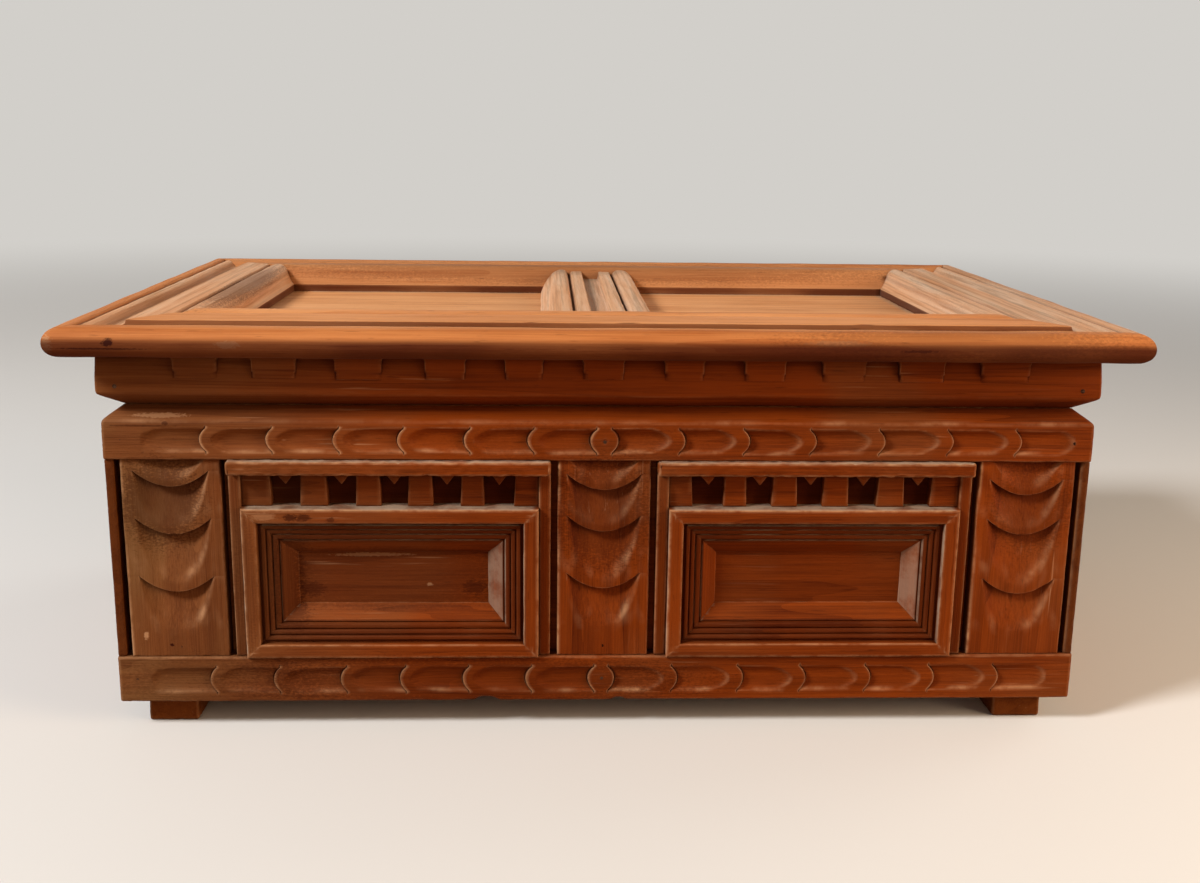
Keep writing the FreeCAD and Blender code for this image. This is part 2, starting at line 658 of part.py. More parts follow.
doc.recompute()
for item in doc.Objects:
    if "Invalid" in item.State or "Error" in item.State:
        raise RuntimeError(f"{item.Label} failed to build: {item.State}")
for piece in pieces:
    if piece.Shape.isNull() or not piece.Shape.isValid() or not piece.Shape.Solids:
        raise RuntimeError(f"{piece.Label} has no valid shape")
os.makedirs("parts", exist_ok=True)
for piece in pieces:
    piece.Shape.exportStep(f"parts/{piece.Label}.step")
    print(f"{piece.Label}: {len(piece.Shape.Solids)} solid(s), {piece.Shape.Volume:.0f} mm3")
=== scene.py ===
import math

import bmesh
import bpy
import numpy as np
from bpy.props import FloatProperty, FloatVectorProperty, PointerProperty
from mathutils import Matrix, Vector, noise


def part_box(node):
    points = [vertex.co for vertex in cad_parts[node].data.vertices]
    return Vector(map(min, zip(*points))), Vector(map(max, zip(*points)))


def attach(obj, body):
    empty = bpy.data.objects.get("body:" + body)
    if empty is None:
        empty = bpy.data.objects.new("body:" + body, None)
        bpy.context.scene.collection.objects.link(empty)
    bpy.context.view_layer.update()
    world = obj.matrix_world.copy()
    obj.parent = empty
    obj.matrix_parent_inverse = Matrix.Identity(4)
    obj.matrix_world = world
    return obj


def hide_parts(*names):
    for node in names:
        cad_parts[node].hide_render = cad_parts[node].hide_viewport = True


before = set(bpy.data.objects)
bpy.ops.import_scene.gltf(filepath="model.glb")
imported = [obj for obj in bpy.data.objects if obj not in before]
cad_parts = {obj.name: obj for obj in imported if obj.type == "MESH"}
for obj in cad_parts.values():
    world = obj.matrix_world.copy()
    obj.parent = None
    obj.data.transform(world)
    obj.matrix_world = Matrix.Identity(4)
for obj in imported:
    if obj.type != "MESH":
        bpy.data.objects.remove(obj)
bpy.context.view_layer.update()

bl_info = {
    "name": "Carved Document Box",
    "version": (1, 0, 0),
    "blender": (4, 5, 0),
    "location": "3D View > Sidebar > Carved Box",
    "description": "Dresses a hinged pine box with its carved front, moulded lid, wear and studio stage",
    "category": "Add Mesh",
}

MM = 0.001
SIDES = ("left", "right")
GRAIN_TURNS = {"x": (0, 0, 0), "y": (0, 0, math.radians(90)), "z": (0, math.radians(90), 0)}
FRONT = Matrix.Rotation(math.radians(90), 4, "X")

# Sizes that several pieces share, in millimetres
CASE_HALF_WIDTH = 214.0
CASE_BEVEL_HEIGHT = 5.7
CASE_BEVEL_DEPTH = 8.0
SKIRT_SLOPE_HEIGHT = 5.5
SKIRT_SLOPE_DEPTH = 9.0
CORNER_RUN = 18.0

# Carved cuts, in millimetres along the front from its middle and up from the floor
# Scoops of a rail: the outer end and the stops on each side, and the row's height, width and share of depth
SCOOPS = {
    "top_rail": {
        "left": (-197.7, (-173.1, -145.1, -116.7, -89.2, -60.8, -33.4, -6.4)),
        "right": (205.9, (182.2, 152.1, 122.1, 92.0, 63.0, 34.9, 5.9)),
        "height": (132.4, 10.4, 1.0),
    },
    "bottom_rail": {
        "left": (-199.5, (-173.9, -146.0, -116.5, -90.3, -62.3, -34.3, -6.4)),
        "right": (202.5, (180.4, 151.0, 122.0, 92.3, 64.0, 34.1, 5.6)),
        "height": (22.9, 11.6, 0.72),
    },
}
SCOOP_LANDS = {"left": 4.6, "right": 6.2}
# Notches in a rail's lower edge: place, half width and height
NOTCHES = {"top_rail": (), "bottom_rail": ((-54.5, 4.5, 1.7), (10.5, 2.6, 1.2))}
# Lowest point of each scale from the top down, and where the last one fades out
SCALE_BOTTOMS = {
    "left_pilaster": (128.5, 111.4, 90.0, 63.8, 43.0),
    "middle_pilaster": (128.0, 110.2, 91.4, 65.2, 44.5),
    "right_pilaster": (126.5, 108.3, 90.1, 62.4, 42.0),
}
# Both flanks of each dentil and of each block of the toothed strips
FRONT_DENTILS = ((-182.6, -163.6), (-149.8, -130.6), (-115.0, -94.7), (-77.2, -59.4), (-43.3, -26.5),
                 (-9.9, 8.0), (24.8, 42.3), (59.0, 77.2), (92.5, 111.7), (125.5, 145.9), (161.2, 183.1))
SIDE_DENTIL_HALF = 9.3
SIDE_DENTILS = tuple((middle - SIDE_DENTIL_HALF, middle + SIDE_DENTIL_HALF)
                     for middle in (-104, -69, -34.5, 0, 34, 69, 103.5))
TOOTH_BLOCKS = {
    "left": ((-156.9, -144.6), (-131.5, -120.4), (-107.6, -97.3),
             (-85.0, -74.7), (-62.1, -52.4), (-38.7, -28.5)),
    "right": ((28.5, 38.5), (52.8, 62.5), (74.3, 84.9),
              (96.7, 107.7), (120.9, 132.4), (144.7, 156.9)),
}

# Mouldings as corners of inset, height and rounding, in millimetres
LID_PROFILE = (
    (0.0, 0.0, 6.2), (0.0, 12.8, 6.2), (9.4, 12.8, 0.35), (10.3, 10.2, 0.15), (11.2, 11.9, 0.5),
    (14.2, 12.9, 2.2), (18.8, 7.9, 2.4), (24.6, 10.3, 0.3), (25.6, 8.8, 0.12), (26.6, 12.7, 0.35),
    (42.8, 13.6, 0.45), (43.9, 10.9, 0.15),
    (45.0, 13.0, 0.45), (48.6, 14.5, 2.6), (55.2, 14.0, 3.4), (57.4, 7.4, 2.6), (59.4, 4.6, 0.4),
    (60.4, 4.0, 0.3), (60.4, 0.0, 0.0),
)
LID_PROFILE_WIDTH = 60.4
MUNTIN_HALF = (
    (22.8, 0.0, 0.0), (22.6, 6.4, 2.4), (20.0, 13.7, 4.2), (13.7, 12.6, 1.4), (12.3, 8.6, 0.2),
    (11.0, 12.0, 0.7), (4.9, 12.2, 0.7), (4.2, 8.0, 0.4),
)
MUNTIN_LAP = 7.0
FRAME_PROFILE = (
    (0.0, 0.0, 0.0), (0.0, 11.0, 0.9), (6.4, 11.0, 0.6), (6.7, 7.2, 0.2), (7.6, 6.9, 0.2), (7.9, 8.6, 0.45),
    (9.6, 8.4, 0.5), (9.9, 6.4, 0.15), (10.3, 7.7, 0.4), (12.0, 7.4, 0.5), (12.3, 5.5, 0.15),
    (12.7, 6.8, 0.4), (14.7, 6.5, 0.5), (15.1, 4.8, 0.15), (15.6, 5.9, 0.5), (22.2, 0.7, 0.3),
    (22.5, 0.0, 0.0),
)

# Where the raw inside and the front's layers lie, in millimetres from the floor under the box's middle
INSIDE_HALF_WIDTH = 203.0
INSIDE_DEPTH = (-114.0, 121.5)
INSIDE_HEIGHT = (18.0, 161.0)
BAND_BACK = -130.0
BAND_RIM = (-131.3, -129.3)
REEDS = (-129.7, -125.8)
BEVEL_FRONT = -127.0
END_STRIP_BACK = -110.0

# Marks of use, and among the stains some painted shade: where each sits and how far it reaches, in
# millimetres, and how strong it is
STAINS_AND_SHADE = {
    "lid": (
        ((-203.5, -145, 176.5), (3, 3, 2), 0.95),
        ((130, -145, 175), (9, 3, 0.7), 0.7),
        ((-207, -145, 174), (22, 3, 0.45), 0.75),
        ((150, -140, 178), (90, 14, 8), 0.3),
        # Painted shade on the back moulding's band and roll, which face the front
        ((0, 100, 181), (215, 32, 8), 0.3),
        ((200, 0, 182), (34, 150, 10), 0.12),
        # Painted shade on the side of the left moulding's roll that faces away from the key lamp
        ((-179, 0, 183), (9, 95, 8), 0.55),
    ),
    "front": (
        ((-135.5, -131.5, 98.5), (3.4, 2.5, 2), 0.75),
        ((-130, -131.5, 98.5), (4, 2.5, 2), 0.7),
        ((-118, -131.5, 97.5), (2.4, 2.5, 1.4), 0.6),
        ((-57, -120.5, 63), (6, 2.5, 4), 0.5),
        ((-129, -120.5, 62.5), (7, 2.5, 4), 0.45),
        ((-190, -128, 39), (1, 3, 0.9), 0.95),
        # Painted shade over the lower part of the bottom rail
        ((-60, -129.5, 22), (120, 8, 14), 0.4),
        ((0, -126, 100), (26, 8, 30), 0.44),
        ((-192, -126, 104), (22, 8, 24), 0.52),
        ((-94, -120.5, 70), (60, 4, 26), 0.28),
        ((-170, -129.5, 22), (50, 8, 14), 0.25),
        ((190, -126, 102), (22, 8, 24), 0.36),
        # Painted shade on the left reeds of the left false drawer front, which face away from the key lamp
        ((-137, -125, 66), (10, 6, 34), 0.45),
        ((-15, -131, 132), (70, 8, 9), 0.2),
        ((-157, -132, 68), (8, 6, 36), 0.22),
        ((-199, -129.5, 138.5), (17, 3, 0.4), 0.55),
        ((-187, -129.5, 139.5), (1.6, 3, 0.9), 0.6),
    ),
    "case": (
        ((-214, 40, 95), (3, 5, 4), 0.6),
        ((214, -52, 60), (3, 4, 4), 0.6),
    ),
}
RUBS = {
    "lid": (
        ((-155.5, -145, 176), (6, 3, 1.8), 0.6),
        ((-228, -143, 175.5), (3.2, 4.5, 4.5), 0.8),
        ((-16.5, -92, 183.5), (5, 5, 2), 0.6),
        ((96, -145, 178), (16, 3, 1.4), 0.3),
    ),
    "front": (
        ((-103, -120.5, 78.5), (20, 2, 1), 0.4),
        ((-77, -120.5, 64.5), (1.6, 2, 0.9), 0.7),
        ((-201, -128, 43.5), (1.3, 3, 2.2), 0.6),
        ((-189.5, -127, 142.5), (13, 3, 1.2), 0.38),
        ((-147, -131.5, 99), (6, 2.5, 2.2), 0.25),
    ),
    "case": (),
}

# Figure of the pine, in waves per metre along the grain and across it
GRAIN_WAVES = {
    "growth": (1.3, 26.0),
    "fibre": (26.0, 1500.0),
    "streak": (7.0, 190.0),
    "mottle": (7.0, 17.0),
    "fleck": (85.0, 1000.0),
    "strip": (8.0, 420.0),
    "scratch": (22.0, 700.0),
}
RINGS_PER_GROWTH = 9.0

# Where the lid's nosing begins, from its ends, its front and its underside, in metres
NOSING_ENDS = (0.2195, 0.2212)
NOSING_FRONT = (0.135, 0.1367)
NOSING_UNDERSIDE = (0.1701, 0.1714)

# Stretch of the front over which the painted cool light that greys its left end fades out, in metres
COOL_LIT_END = (-0.2, -0.07)

# How strong the painted shade is in corners that little light reaches
CORNER_SHADE = 0.68
FRONT_BOARD_CORNER_SHADE = 0.1

# Each lamp's place and width in metres, and its tint
LAMPS = {
    "key": ((-1.6, -0.95, 1.5), 0.55, (0.97, 0.985, 1.0)),
    "fill": ((0.85, -0.5, 0.4), 0.6, (1.0, 0.74, 0.48)),
    "front": ((-0.1, -1.35, 0.45), 0.7, (1.0, 0.66, 0.42)),
}
LAMP_AIM = (0.0, 0.0, 0.09)
SKY_TINT = (1.0, 0.92, 0.84)
DAYLIGHT_HEADING = (-0.78, -0.48, -0.4)
DAYLIGHT_ANGLE = math.radians(30)
FLOOR_FADE = (0.9, 2.6)

# The photograph's viewpoint
CAMERA_PLACE = (-0.02641, -0.69353, 0.26616)
CAMERA_PITCH = math.radians(13.332)
CAMERA_YAW = math.radians(2.459)
CAMERA_ROLL = math.radians(0.775)
FOCAL_LENGTH_IN_PIXELS = 1347.38
PHOTO_WIDTH_IN_PIXELS = 1200
SENSOR_WIDTH = 36.0


def srgb(red, green, blue):
    """A display colour of 0 to 255 as the linear colour that Blender's sockets hold."""
    linear = []
    for part in (red, green, blue):
        level = part / 255
        linear.append(level / 12.92 if level <= 0.04045 else ((level + 0.055) / 1.055) ** 2.4)
    return tuple(linear)


def colour(name, description, value):
    """A setting for a colour, given as display levels."""
    return FloatVectorProperty(name=name, description=description, subtype="COLOR", size=3,
                               min=0.0, max=1.0, default=srgb(*value))


def length(name, description, value):
    """A setting for a length, given in millimetres."""
    return FloatProperty(name=name, description=description, unit="LENGTH", subtype="DISTANCE",
                         min=0.0, default=value * MM)


def share(name, description, value):
    """A setting from 0 to 1."""
    return FloatProperty(name=name, description=description, subtype="FACTOR",
                         min=0.0, max=1.0, default=value)


def power(name, description, value):
    """A setting for a lamp's power in watts."""
    return FloatProperty(name=name, description=description, unit="POWER", min=0.0, default=value)


def strength(name, description, value):
    """A setting for the strength of a light with no place."""
    return FloatProperty(name=name, description=description, min=0.0, default=value)


class CarvedBoxFinish(bpy.types.PropertyGroup):
    """Stain, wear and dust of the pine, and the colours of its painted shade and light"""
    lid_light: colour("Lid light", "Early wood of the lid's honey stain", (221, 158, 105))
    lid_dark: colour("Lid dark", "Late wood of the lid's honey stain", (174, 104, 54))
    front_light: colour("Front light", "Early wood of the red-brown front", (127, 55, 12))
    front_dark: colour("Front dark", "Late wood of the red-brown front", (74, 25, 4))
    # Also painted cool light: the greyer left end of the front
    aged_and_cool_lit: colour("Aged", "Greyer wood at the left end of the front", (120, 86, 52))
    # Multiplied on the nosing as a handling tint, and at half strength over the lid's top as painted shade
    handled_and_shade: colour("Handled", "Tint that hands leave on the lid's nosing", (223, 198, 170))
    case_light: colour("Case light", "Early wood of the ends and back", (136, 74, 30))
    case_dark: colour("Case dark", "Late wood of the ends and back", (90, 42, 13))
    raw: colour("Raw pine", "Unstained wood inside the case and lid", (190, 145, 98))
    # Also the colour of painted highlights on carved edges that face the key lamp
    worn_and_highlight: colour("Worn edges", "Wood rubbed pale along edges and rims", (201, 152, 110))
    # Also the colour of painted shade in corners, creases and recesses
    grime_and_shade: colour("Grime", "Old wax and dirt in corners and cuts", (46, 10, 2))
    # Painted shade: the red-brown under the lid's nosing and in the lid's corners and creases, where it also
    # stands for the lid's grime
    lid_grime_and_shade: colour("Pooled stain", "Red stain that pooled under the lid's nosing", (62, 11, 1))
    # Also painted light on the frames' bevels and band rims that face the key lamp
    dust: colour("Dust", "Grey dust on ledges", (168, 148, 126))
    weathered: colour("Weathered", "Greyed wood that lost its stain", (213, 177, 146))
    wear: share("Wear", "How far the edges are rubbed through", 0.65)


class CarvedBoxCarving(bpy.types.PropertyGroup):
    """Sizes of the carved cuts and of what hand work leaves"""
    scoop_depth: length("Scoop depth", "Deepest point of a gouge cut in the rails", 2.5)
    stop_bow: length("Stop bow", "How far a stop cut curves over its height", 2.9)
    scale_depth: length("Scale depth", "Depth under the rim of a scale on a pilaster", 4.7)
    scale_bow: length("Scale bow", "How far a scale's rim hangs", 7.2)
    scale_half_width: length("Scale half width", "From the middle of a scale to its tip", 16.3)
    dentil_depth: length("Dentil depth", "Depth between the dentils under the lid", 3.0)
    edge: length("Edge", "Rounding of the boards' worn edges", 0.9)
    wave: length("Hand wave", "Unevenness that a hand plane leaves", 0.12)


class CarvedBoxStage(bpy.types.PropertyGroup):
    """Floor and lights"""
    floor: colour("Floor", "Plain pale floor", (222, 218, 213))
    floor_radius: length("Floor radius", "How far the floor reaches", 20000.0)
    surround: colour("Surround", "Pale grey that the floor fades into", (210, 207, 202))
    bounce: colour("Bounce", "Floor as it lights the box, with little glare from below", (120, 80, 50))
    key_power: power("Key power", "Soft light from the upper left", 60.0)
    fill_power: power("Fill power", "Warm light from the right", 7.5)
    front_power: power("Front power", "Weak warm light from the front", 1.7)
    back_strength: strength("Back strength", "Wide sun from the back right", 0.5)
    sky: strength("Sky", "Strength of the even light from all round", 0.15)


class CarvedBoxSettings(bpy.types.PropertyGroup):
    """All settings of the carved box"""
    finish: PointerProperty(type=CarvedBoxFinish)
    carving: PointerProperty(type=CarvedBoxCarving)
    stage: PointerProperty(type=CarvedBoxStage)


def settings():
    """The settings of the carved box in this scene."""
    return bpy.context.scene.carved_box


# Materials

class Nodes:
    """Adds shader nodes to a material or world: a socket given as a value is linked, the rest is set."""

    def __init__(self, owner):
        self.owner = owner
        owner.use_nodes = True
        self.tree = owner.node_tree
        self.tree.nodes.clear()

    def add(self, kind, sockets=(), **settings_of_node):
        node = self.tree.nodes.new("ShaderNode" + kind)
        for key, value in settings_of_node.items():
            setattr(node, key, value)
        for key, value in dict(sockets).items():
            if isinstance(value, bpy.types.NodeSocket):
                self.tree.links.new(value, node.inputs[key])
            else:
                node.inputs[key].default_value = value
        return node

    def math(self, operation, a, b=0.5, clamp=False):
        return self.add("Math", {0: a, 1: b}, operation=operation, use_clamp=clamp).outputs[0]

    def plus(self, a, b, clamp=False):
        return self.math("ADD", a, b, clamp)

    def times(self, a, b, clamp=False):
        return self.math("MULTIPLY", a, b, clamp)

    def most(self, a, b):
        return self.math("MAXIMUM", a, b)

    def about(self, value, middle, factor):
        """How far a value lies from its middle, times a factor."""
        return self.times(self.math("SUBTRACT", value, middle), factor)

    def vector(self, operation, a, b=(0.0, 0.0, 0.0)):
        return self.add("VectorMath", {0: a, 1: b}, operation=operation).outputs

    def blend(self, factor, a, b, blend_type="MIX"):
        node = self.add("Mix", {0: factor, 6: a, 7: b}, data_type="RGBA", blend_type=blend_type)
        return node.outputs[2]

    def ramp(self, value, low, high, to_low=0.0, to_high=1.0):
        """A soft step from one level to another, as a value goes from low to high."""
        sockets = {0: value, 1: low, 2: high, 3: to_low, 4: to_high}
        return self.add("MapRange", sockets, interpolation_type="SMOOTHSTEP").outputs[0]

    def noise(self, vector, waves, detail=2.0, roughness=0.5, distortion=0.0):
        """Noise with a number of waves per metre on each axis."""
        scaled = self.vector("MULTIPLY", vector, waves)[0]
        sockets = {"Vector": scaled, "Scale": 1.0, "Detail": detail, "Roughness": roughness,
                   "Distortion": distortion}
        return self.add("TexNoise", sockets).outputs[0]

    def cloud(self, vector, waves, detail=2.0, roughness=0.5):
        """Noise that is the same size on all axes."""
        return self.noise(vector, (waves, waves, waves), detail, roughness)

    def spot(self, place, middle, reach, strongest):
        """A ragged mark about a point of the surface."""
        away = self.vector("SUBTRACT", place, [part * MM for part in middle])[0]
        away = self.vector("DIVIDE", away, [part * MM for part in reach])[0]
        away = self.vector("LENGTH", away)["Value"]
        ragged = self.noise(place, (700.0, 700.0, 1400.0), detail=3.0, roughness=0.6)
        away = self.plus(away, self.about(ragged, 0.5, 1.6))
        return self.ramp(away, 0.55, 1.05, strongest, 0.0)

    def seen(self):
        """1 for what the camera sees, directly, mirrored or through glass, and 0 for what lights the box."""
        ray = self.add("LightPath").outputs
        return self.most(self.most(ray["Is Camera Ray"], ray["Is Glossy Ray"]), ray["Is Transmission Ray"])

    def end(self, shader, output="OutputMaterial"):
        self.add(output, {"Surface": shader.outputs[0]})
        return self.owner


def opaque(three):
    """A colour with full cover."""
    return (three[0], three[1], three[2], 1.0)


def pine(slot, grain, corner_dirt):
    """Stained pine with its rings along one axis, worn, grimed and dusted where the mesh says so, with
    painted shade in corners, creases and under the nosing, and painted highlights and light on edges and
    bevels that face the key lamp.
    """
    name = f"{slot}_{grain}_{corner_dirt:.2f}"
    if name in bpy.data.materials:
        return bpy.data.materials[name]
    finish = settings().finish
    group = slot.split("_")[0]
    n = Nodes(bpy.data.materials.new(name))
    place = n.add("TexCoord").outputs["Object"]
    along = n.add("Mapping", {"Vector": place, "Rotation": GRAIN_TURNS[grain]}).outputs[0]
    mark = n.add("Attribute", attribute_name="finish")
    wear_and_highlight_mark, dirt_and_shade_mark, dust_bleach_and_light_mark = n.add("SeparateColor", {0: mark.outputs["Color"]}).outputs

    def tone(key):
        return opaque(getattr(finish, key))

    def figure(kind, **options):
        lengthways, across = GRAIN_WAVES[kind]
        return n.noise(along, (lengthways, across, across), **options)

    # Rings, fibres and streaks of the wood
    growth = figure("growth", detail=3.0, roughness=0.45, distortion=0.25)
    rings = n.math("POWER", n.math("FRACT", n.times(growth, RINGS_PER_GROWTH)), 2.4)
    fibre = figure("fibre", detail=3.0, roughness=0.6)
    streak = figure("streak", detail=4.0, roughness=0.55)
    mottle = figure("mottle", detail=4.0, roughness=0.6)
    strips = figure("strip", detail=5.0, roughness=0.7)
    patch = n.cloud(place, 14.0)
    depth = n.plus(n.times(rings, 0.34), n.about(fibre, 0.5, 1.2))
    depth = n.plus(depth, n.about(streak, 0.42, 1.1))
    depth = n.plus(depth, n.about(mottle, 0.42, 1.3), clamp=True)

    # Stain, with painted cool light greying the left end of the front, the nosing's handling tint with
    # painted shade over the lid's top, and the raw inside
    tint = n.blend(depth, tone(f"{group}_light"), tone(f"{group}_dark"))
    tint = n.blend(n.ramp(figure("fleck", detail=1.0), 0.68, 0.78, 0.0, 0.35), tint, tone("grime_and_shade"))
    x, y, z = n.add("SeparateXYZ", {0: place}).outputs
    # Painted cool light greys the left end of the front
    if group == "front":
        aged_and_cool_lit = n.blend(n.times(depth, 0.7), tone("aged_and_cool_lit"), tone("front_dark"))
        cool_lit_left_end = n.times(n.ramp(x, *COOL_LIT_END, 0.85, 0.0), n.ramp(mottle, 0.3, 0.6, 1.0, 0.6))
        tint = n.blend(n.most(cool_lit_left_end, n.ramp(patch, 0.5, 0.72, 0.0, 0.22)), tint, aged_and_cool_lit)
    if group == "lid":
        # Handling tint on the nosing, and at half strength over the lid's top a painted shade
        nosing = n.ramp(n.math("ABSOLUTE", x), *NOSING_ENDS)
        nosing = n.most(nosing, n.ramp(n.math("ABSOLUTE", y), *NOSING_FRONT))
        nosing = n.most(nosing, n.ramp(z, *NOSING_UNDERSIDE, 0.0, 0.5))
        tint = n.blend(nosing, tint, tone("handled_and_shade"), "MULTIPLY")
    inside = n.blend(n.times(depth, 0.75), tone("raw"), tone("lid_dark"))
    tint = n.blend(mark.outputs["Alpha"], tint, inside)

    # Wood that lost its stain, and edges rubbed pale; the pale marks also hold painted highlights on carved
    # edges that face the key lamp
    grey = n.blend(n.times(depth, 0.8), tone("weathered"), tone(f"{group}_light"))
    grey = n.blend(n.ramp(strips, 0.44, 0.64, 0.0, 0.55), grey, tone("aged_and_cool_lit"))
    bleached = n.times(n.ramp(dust_bleach_and_light_mark, 0.3, 0.75), n.ramp(streak, 0.3, 0.62, 1.0, 0.62))
    tint = n.blend(bleached, tint, grey)
    broken = n.ramp(n.cloud(place, 160.0, detail=3.0, roughness=0.6), 0.3, 0.62, 0.25, 1.0)
    rubbed = n.times(n.times(wear_and_highlight_mark, broken, clamp=True), finish.wear)
    scratch = n.times(n.ramp(figure("scratch"), 0.63, 0.78, 0.0, 0.4), n.ramp(patch, 0.5, 0.7))
    for rub in RUBS[group]:
        scratch = n.most(scratch, n.spot(place, *rub))
    rubbed = n.most(rubbed, scratch)
    tint = n.blend(rubbed, tint, tone("worn_and_highlight"))

    # Painted shade from ambient occlusion in corners and cuts, grime and painted shade from the mesh's
    # marks, stains (some of them painted shade) and dust (with painted light on bevels that face the key
    # lamp)
    corner = n.add("AmbientOcclusion", {"Distance": 9 * MM}, samples=6).outputs["AO"]
    corner = n.ramp(corner, 0.25, 0.8, corner_dirt, 0.0)
    dirt = n.times(n.most(dirt_and_shade_mark, corner), n.ramp(patch, 0.25, 0.6, 0.82, 1.0), clamp=True)
    tint = n.blend(n.times(dirt, 0.9), tint, tone("lid_grime_and_shade" if group == "lid" else "grime_and_shade"))
    for stain in STAINS_AND_SHADE[group]:
        tint = n.blend(n.spot(place, *stain), tint, tone("grime_and_shade"))
    dusting = n.times(n.ramp(dust_bleach_and_light_mark, 0.05, 0.25), n.ramp(dust_bleach_and_light_mark, 0.26, 0.34, 1.0, 0.0))
    settled = n.ramp(n.cloud(place, 90.0, detail=4.0, roughness=0.65), 0.3, 0.62, 0.2, 0.75)
    tint = n.blend(n.times(dusting, settled), tint, tone("dust"))

    # Gloss and relief
    gloss = n.ramp(mottle, 0.3, 0.7, 0.5, 0.68)
    gloss = n.plus(gloss, n.times(n.most(rubbed, dirt), 0.22), clamp=True)
    relief = n.plus(n.times(fibre, 0.6), n.times(streak, 0.7))
    relief = n.plus(relief, n.times(n.cloud(place, 420.0, detail=3.0), 0.5))
    relief = n.plus(relief, n.times(n.times(bleached, strips), 1.6))
    bump = n.add("Bump", {"Strength": 0.55, "Distance": 0.7 * MM, "Height": relief}).outputs[0]
    sheen = 0.1 if group == "lid" else 0.05
    wood = {"Base Color": tint, "Roughness": gloss, "Specular IOR Level": sheen, "Normal": bump}
    return n.end(n.add("BsdfPrincipled", wood))


def metal(name, bright, tarnish, roughness):
    """Old metal, tarnished in cloudy patches and finely scratched."""
    if name in bpy.data.materials:
        return bpy.data.materials[name]
    n = Nodes(bpy.data.materials.new(name))
    place = n.add("TexCoord").outputs["Object"]
    patches = n.cloud(place, 220.0, detail=4.0, roughness=0.6)
    scratches = n.noise(place, (160.0, 900.0, 2600.0))
    stain = n.ramp(n.plus(patches, n.about(scratches, 0.5, 0.4)), 0.34, 0.66)
    tint = n.blend(stain, opaque(srgb(*bright)), opaque(srgb(*tarnish)))
    rough = n.ramp(stain, 0.0, 1.0, roughness, roughness + 0.28)
    bump = n.add("Bump", {"Strength": 0.2, "Distance": 0.2 * MM, "Height": scratches}).outputs[0]
    surface = {"Base Color": tint, "Roughness": rough, "Metallic": 1.0, "Normal": bump}
    return n.end(n.add("BsdfPrincipled", surface))


def brass():
    return metal("hinge_brass", bright=(190, 148, 82), tarnish=(92, 66, 36), roughness=0.36)


def iron():
    return metal("nail_iron", bright=(80, 56, 42), tarnish=(40, 22, 14), roughness=0.55)


# Modelling

def unevenness(a, b, seed):
    """Smooth unevenness from about -1 to 1."""
    return noise.noise(Vector((a, b, seed)))


def own_number(node):
    """A number of the node's own, so that no two pieces wear alike."""
    return sum(map(ord, node))


def rim(distance, radius):
    """How far a rounded edge falls back at a distance from it."""
    if distance >= radius:
        return 0.0
    inward = radius - max(distance, 0.0)
    return radius - math.sqrt(max(radius * radius - inward * inward, 0.0))


def over(value, softness):
    """The part of a value above zero, with a soft start."""
    return (value + math.sqrt(value * value + softness * softness)) / 2


def bump_at(value, middle, width):
    """A smooth hump of height 1 about a middle."""
    return math.exp(-((value - middle) / width) ** 2)


def drawn_in(u, half, reach):
    """The end of a board drawn in to its reach, over the last stretch of its length."""
    start = half - CORNER_RUN
    return math.copysign(start + (abs(u) - start) * (reach - start) / CORNER_RUN, u)


def steps(low, high, spacing, marks=(), near=(), edge=(0.12, 0.3, 0.55, 0.9)):
    """Even steps from low to high, with extra ones beside the marks and near both ends."""
    clearance, smallest = spacing * 0.3, 0.02
    count = max(2, round((high - low) / spacing))
    places = [low + (high - low) * number / count for number in range(count + 1)]
    extra = [mark + offset for mark in marks for offset in near]
    extra += [low + offset for offset in edge] + [high - offset for offset in edge]
    extra = sorted(place for place in extra if low < place < high)
    kept = [place for place in places[1:-1] if all(abs(place - other) > clearance for other in extra)]
    merged = sorted(set([low, high] + kept + extra))
    return [merged[0]] + [b for a, b in zip(merged, merged[1:]) if b - a > smallest]


def points(geometry):
    """The vertices among what an operator gives back."""
    return [item for item in geometry if isinstance(item, bmesh.types.BMVert)]


def lines(geometry):
    """The edges among what an operator gives back."""
    return [item for item in geometry if isinstance(item, bmesh.types.BMEdge)]


def slit(bm, point, normal):
    """Divide the faces of a piece along a plane."""
    bmesh.ops.bisect_plane(bm, geom=bm.verts[:] + bm.edges[:] + bm.faces[:], dist=1e-6,
                           plane_co=point, plane_no=normal)


def trim(bm, point, normal):
    """Saw a piece off at a plane, and close the cut."""
    cut = bmesh.ops.bisect_plane(bm, geom=bm.verts[:] + bm.edges[:] + bm.faces[:], dist=1e-7,
                                 plane_co=point, plane_no=normal, clear_outer=True)
    bmesh.ops.contextual_create(bm, geom=lines(cut["geom_cut"]))


def swept(bm, offset):
    """Extrude a flat outline into a solid."""
    grown = bmesh.ops.extrude_face_region(bm, geom=bm.faces[:])["geom"]
    bmesh.ops.translate(bm, vec=offset, verts=points(grown))


def pushed(bm, faces, offset):
    """Push faces of a piece out or in."""
    grown = bmesh.ops.extrude_face_region(bm, geom=faces)["geom"]
    bmesh.ops.delete(bm, geom=faces, context="FACES_ONLY")
    bmesh.ops.translate(bm, vec=offset, verts=points(grown))


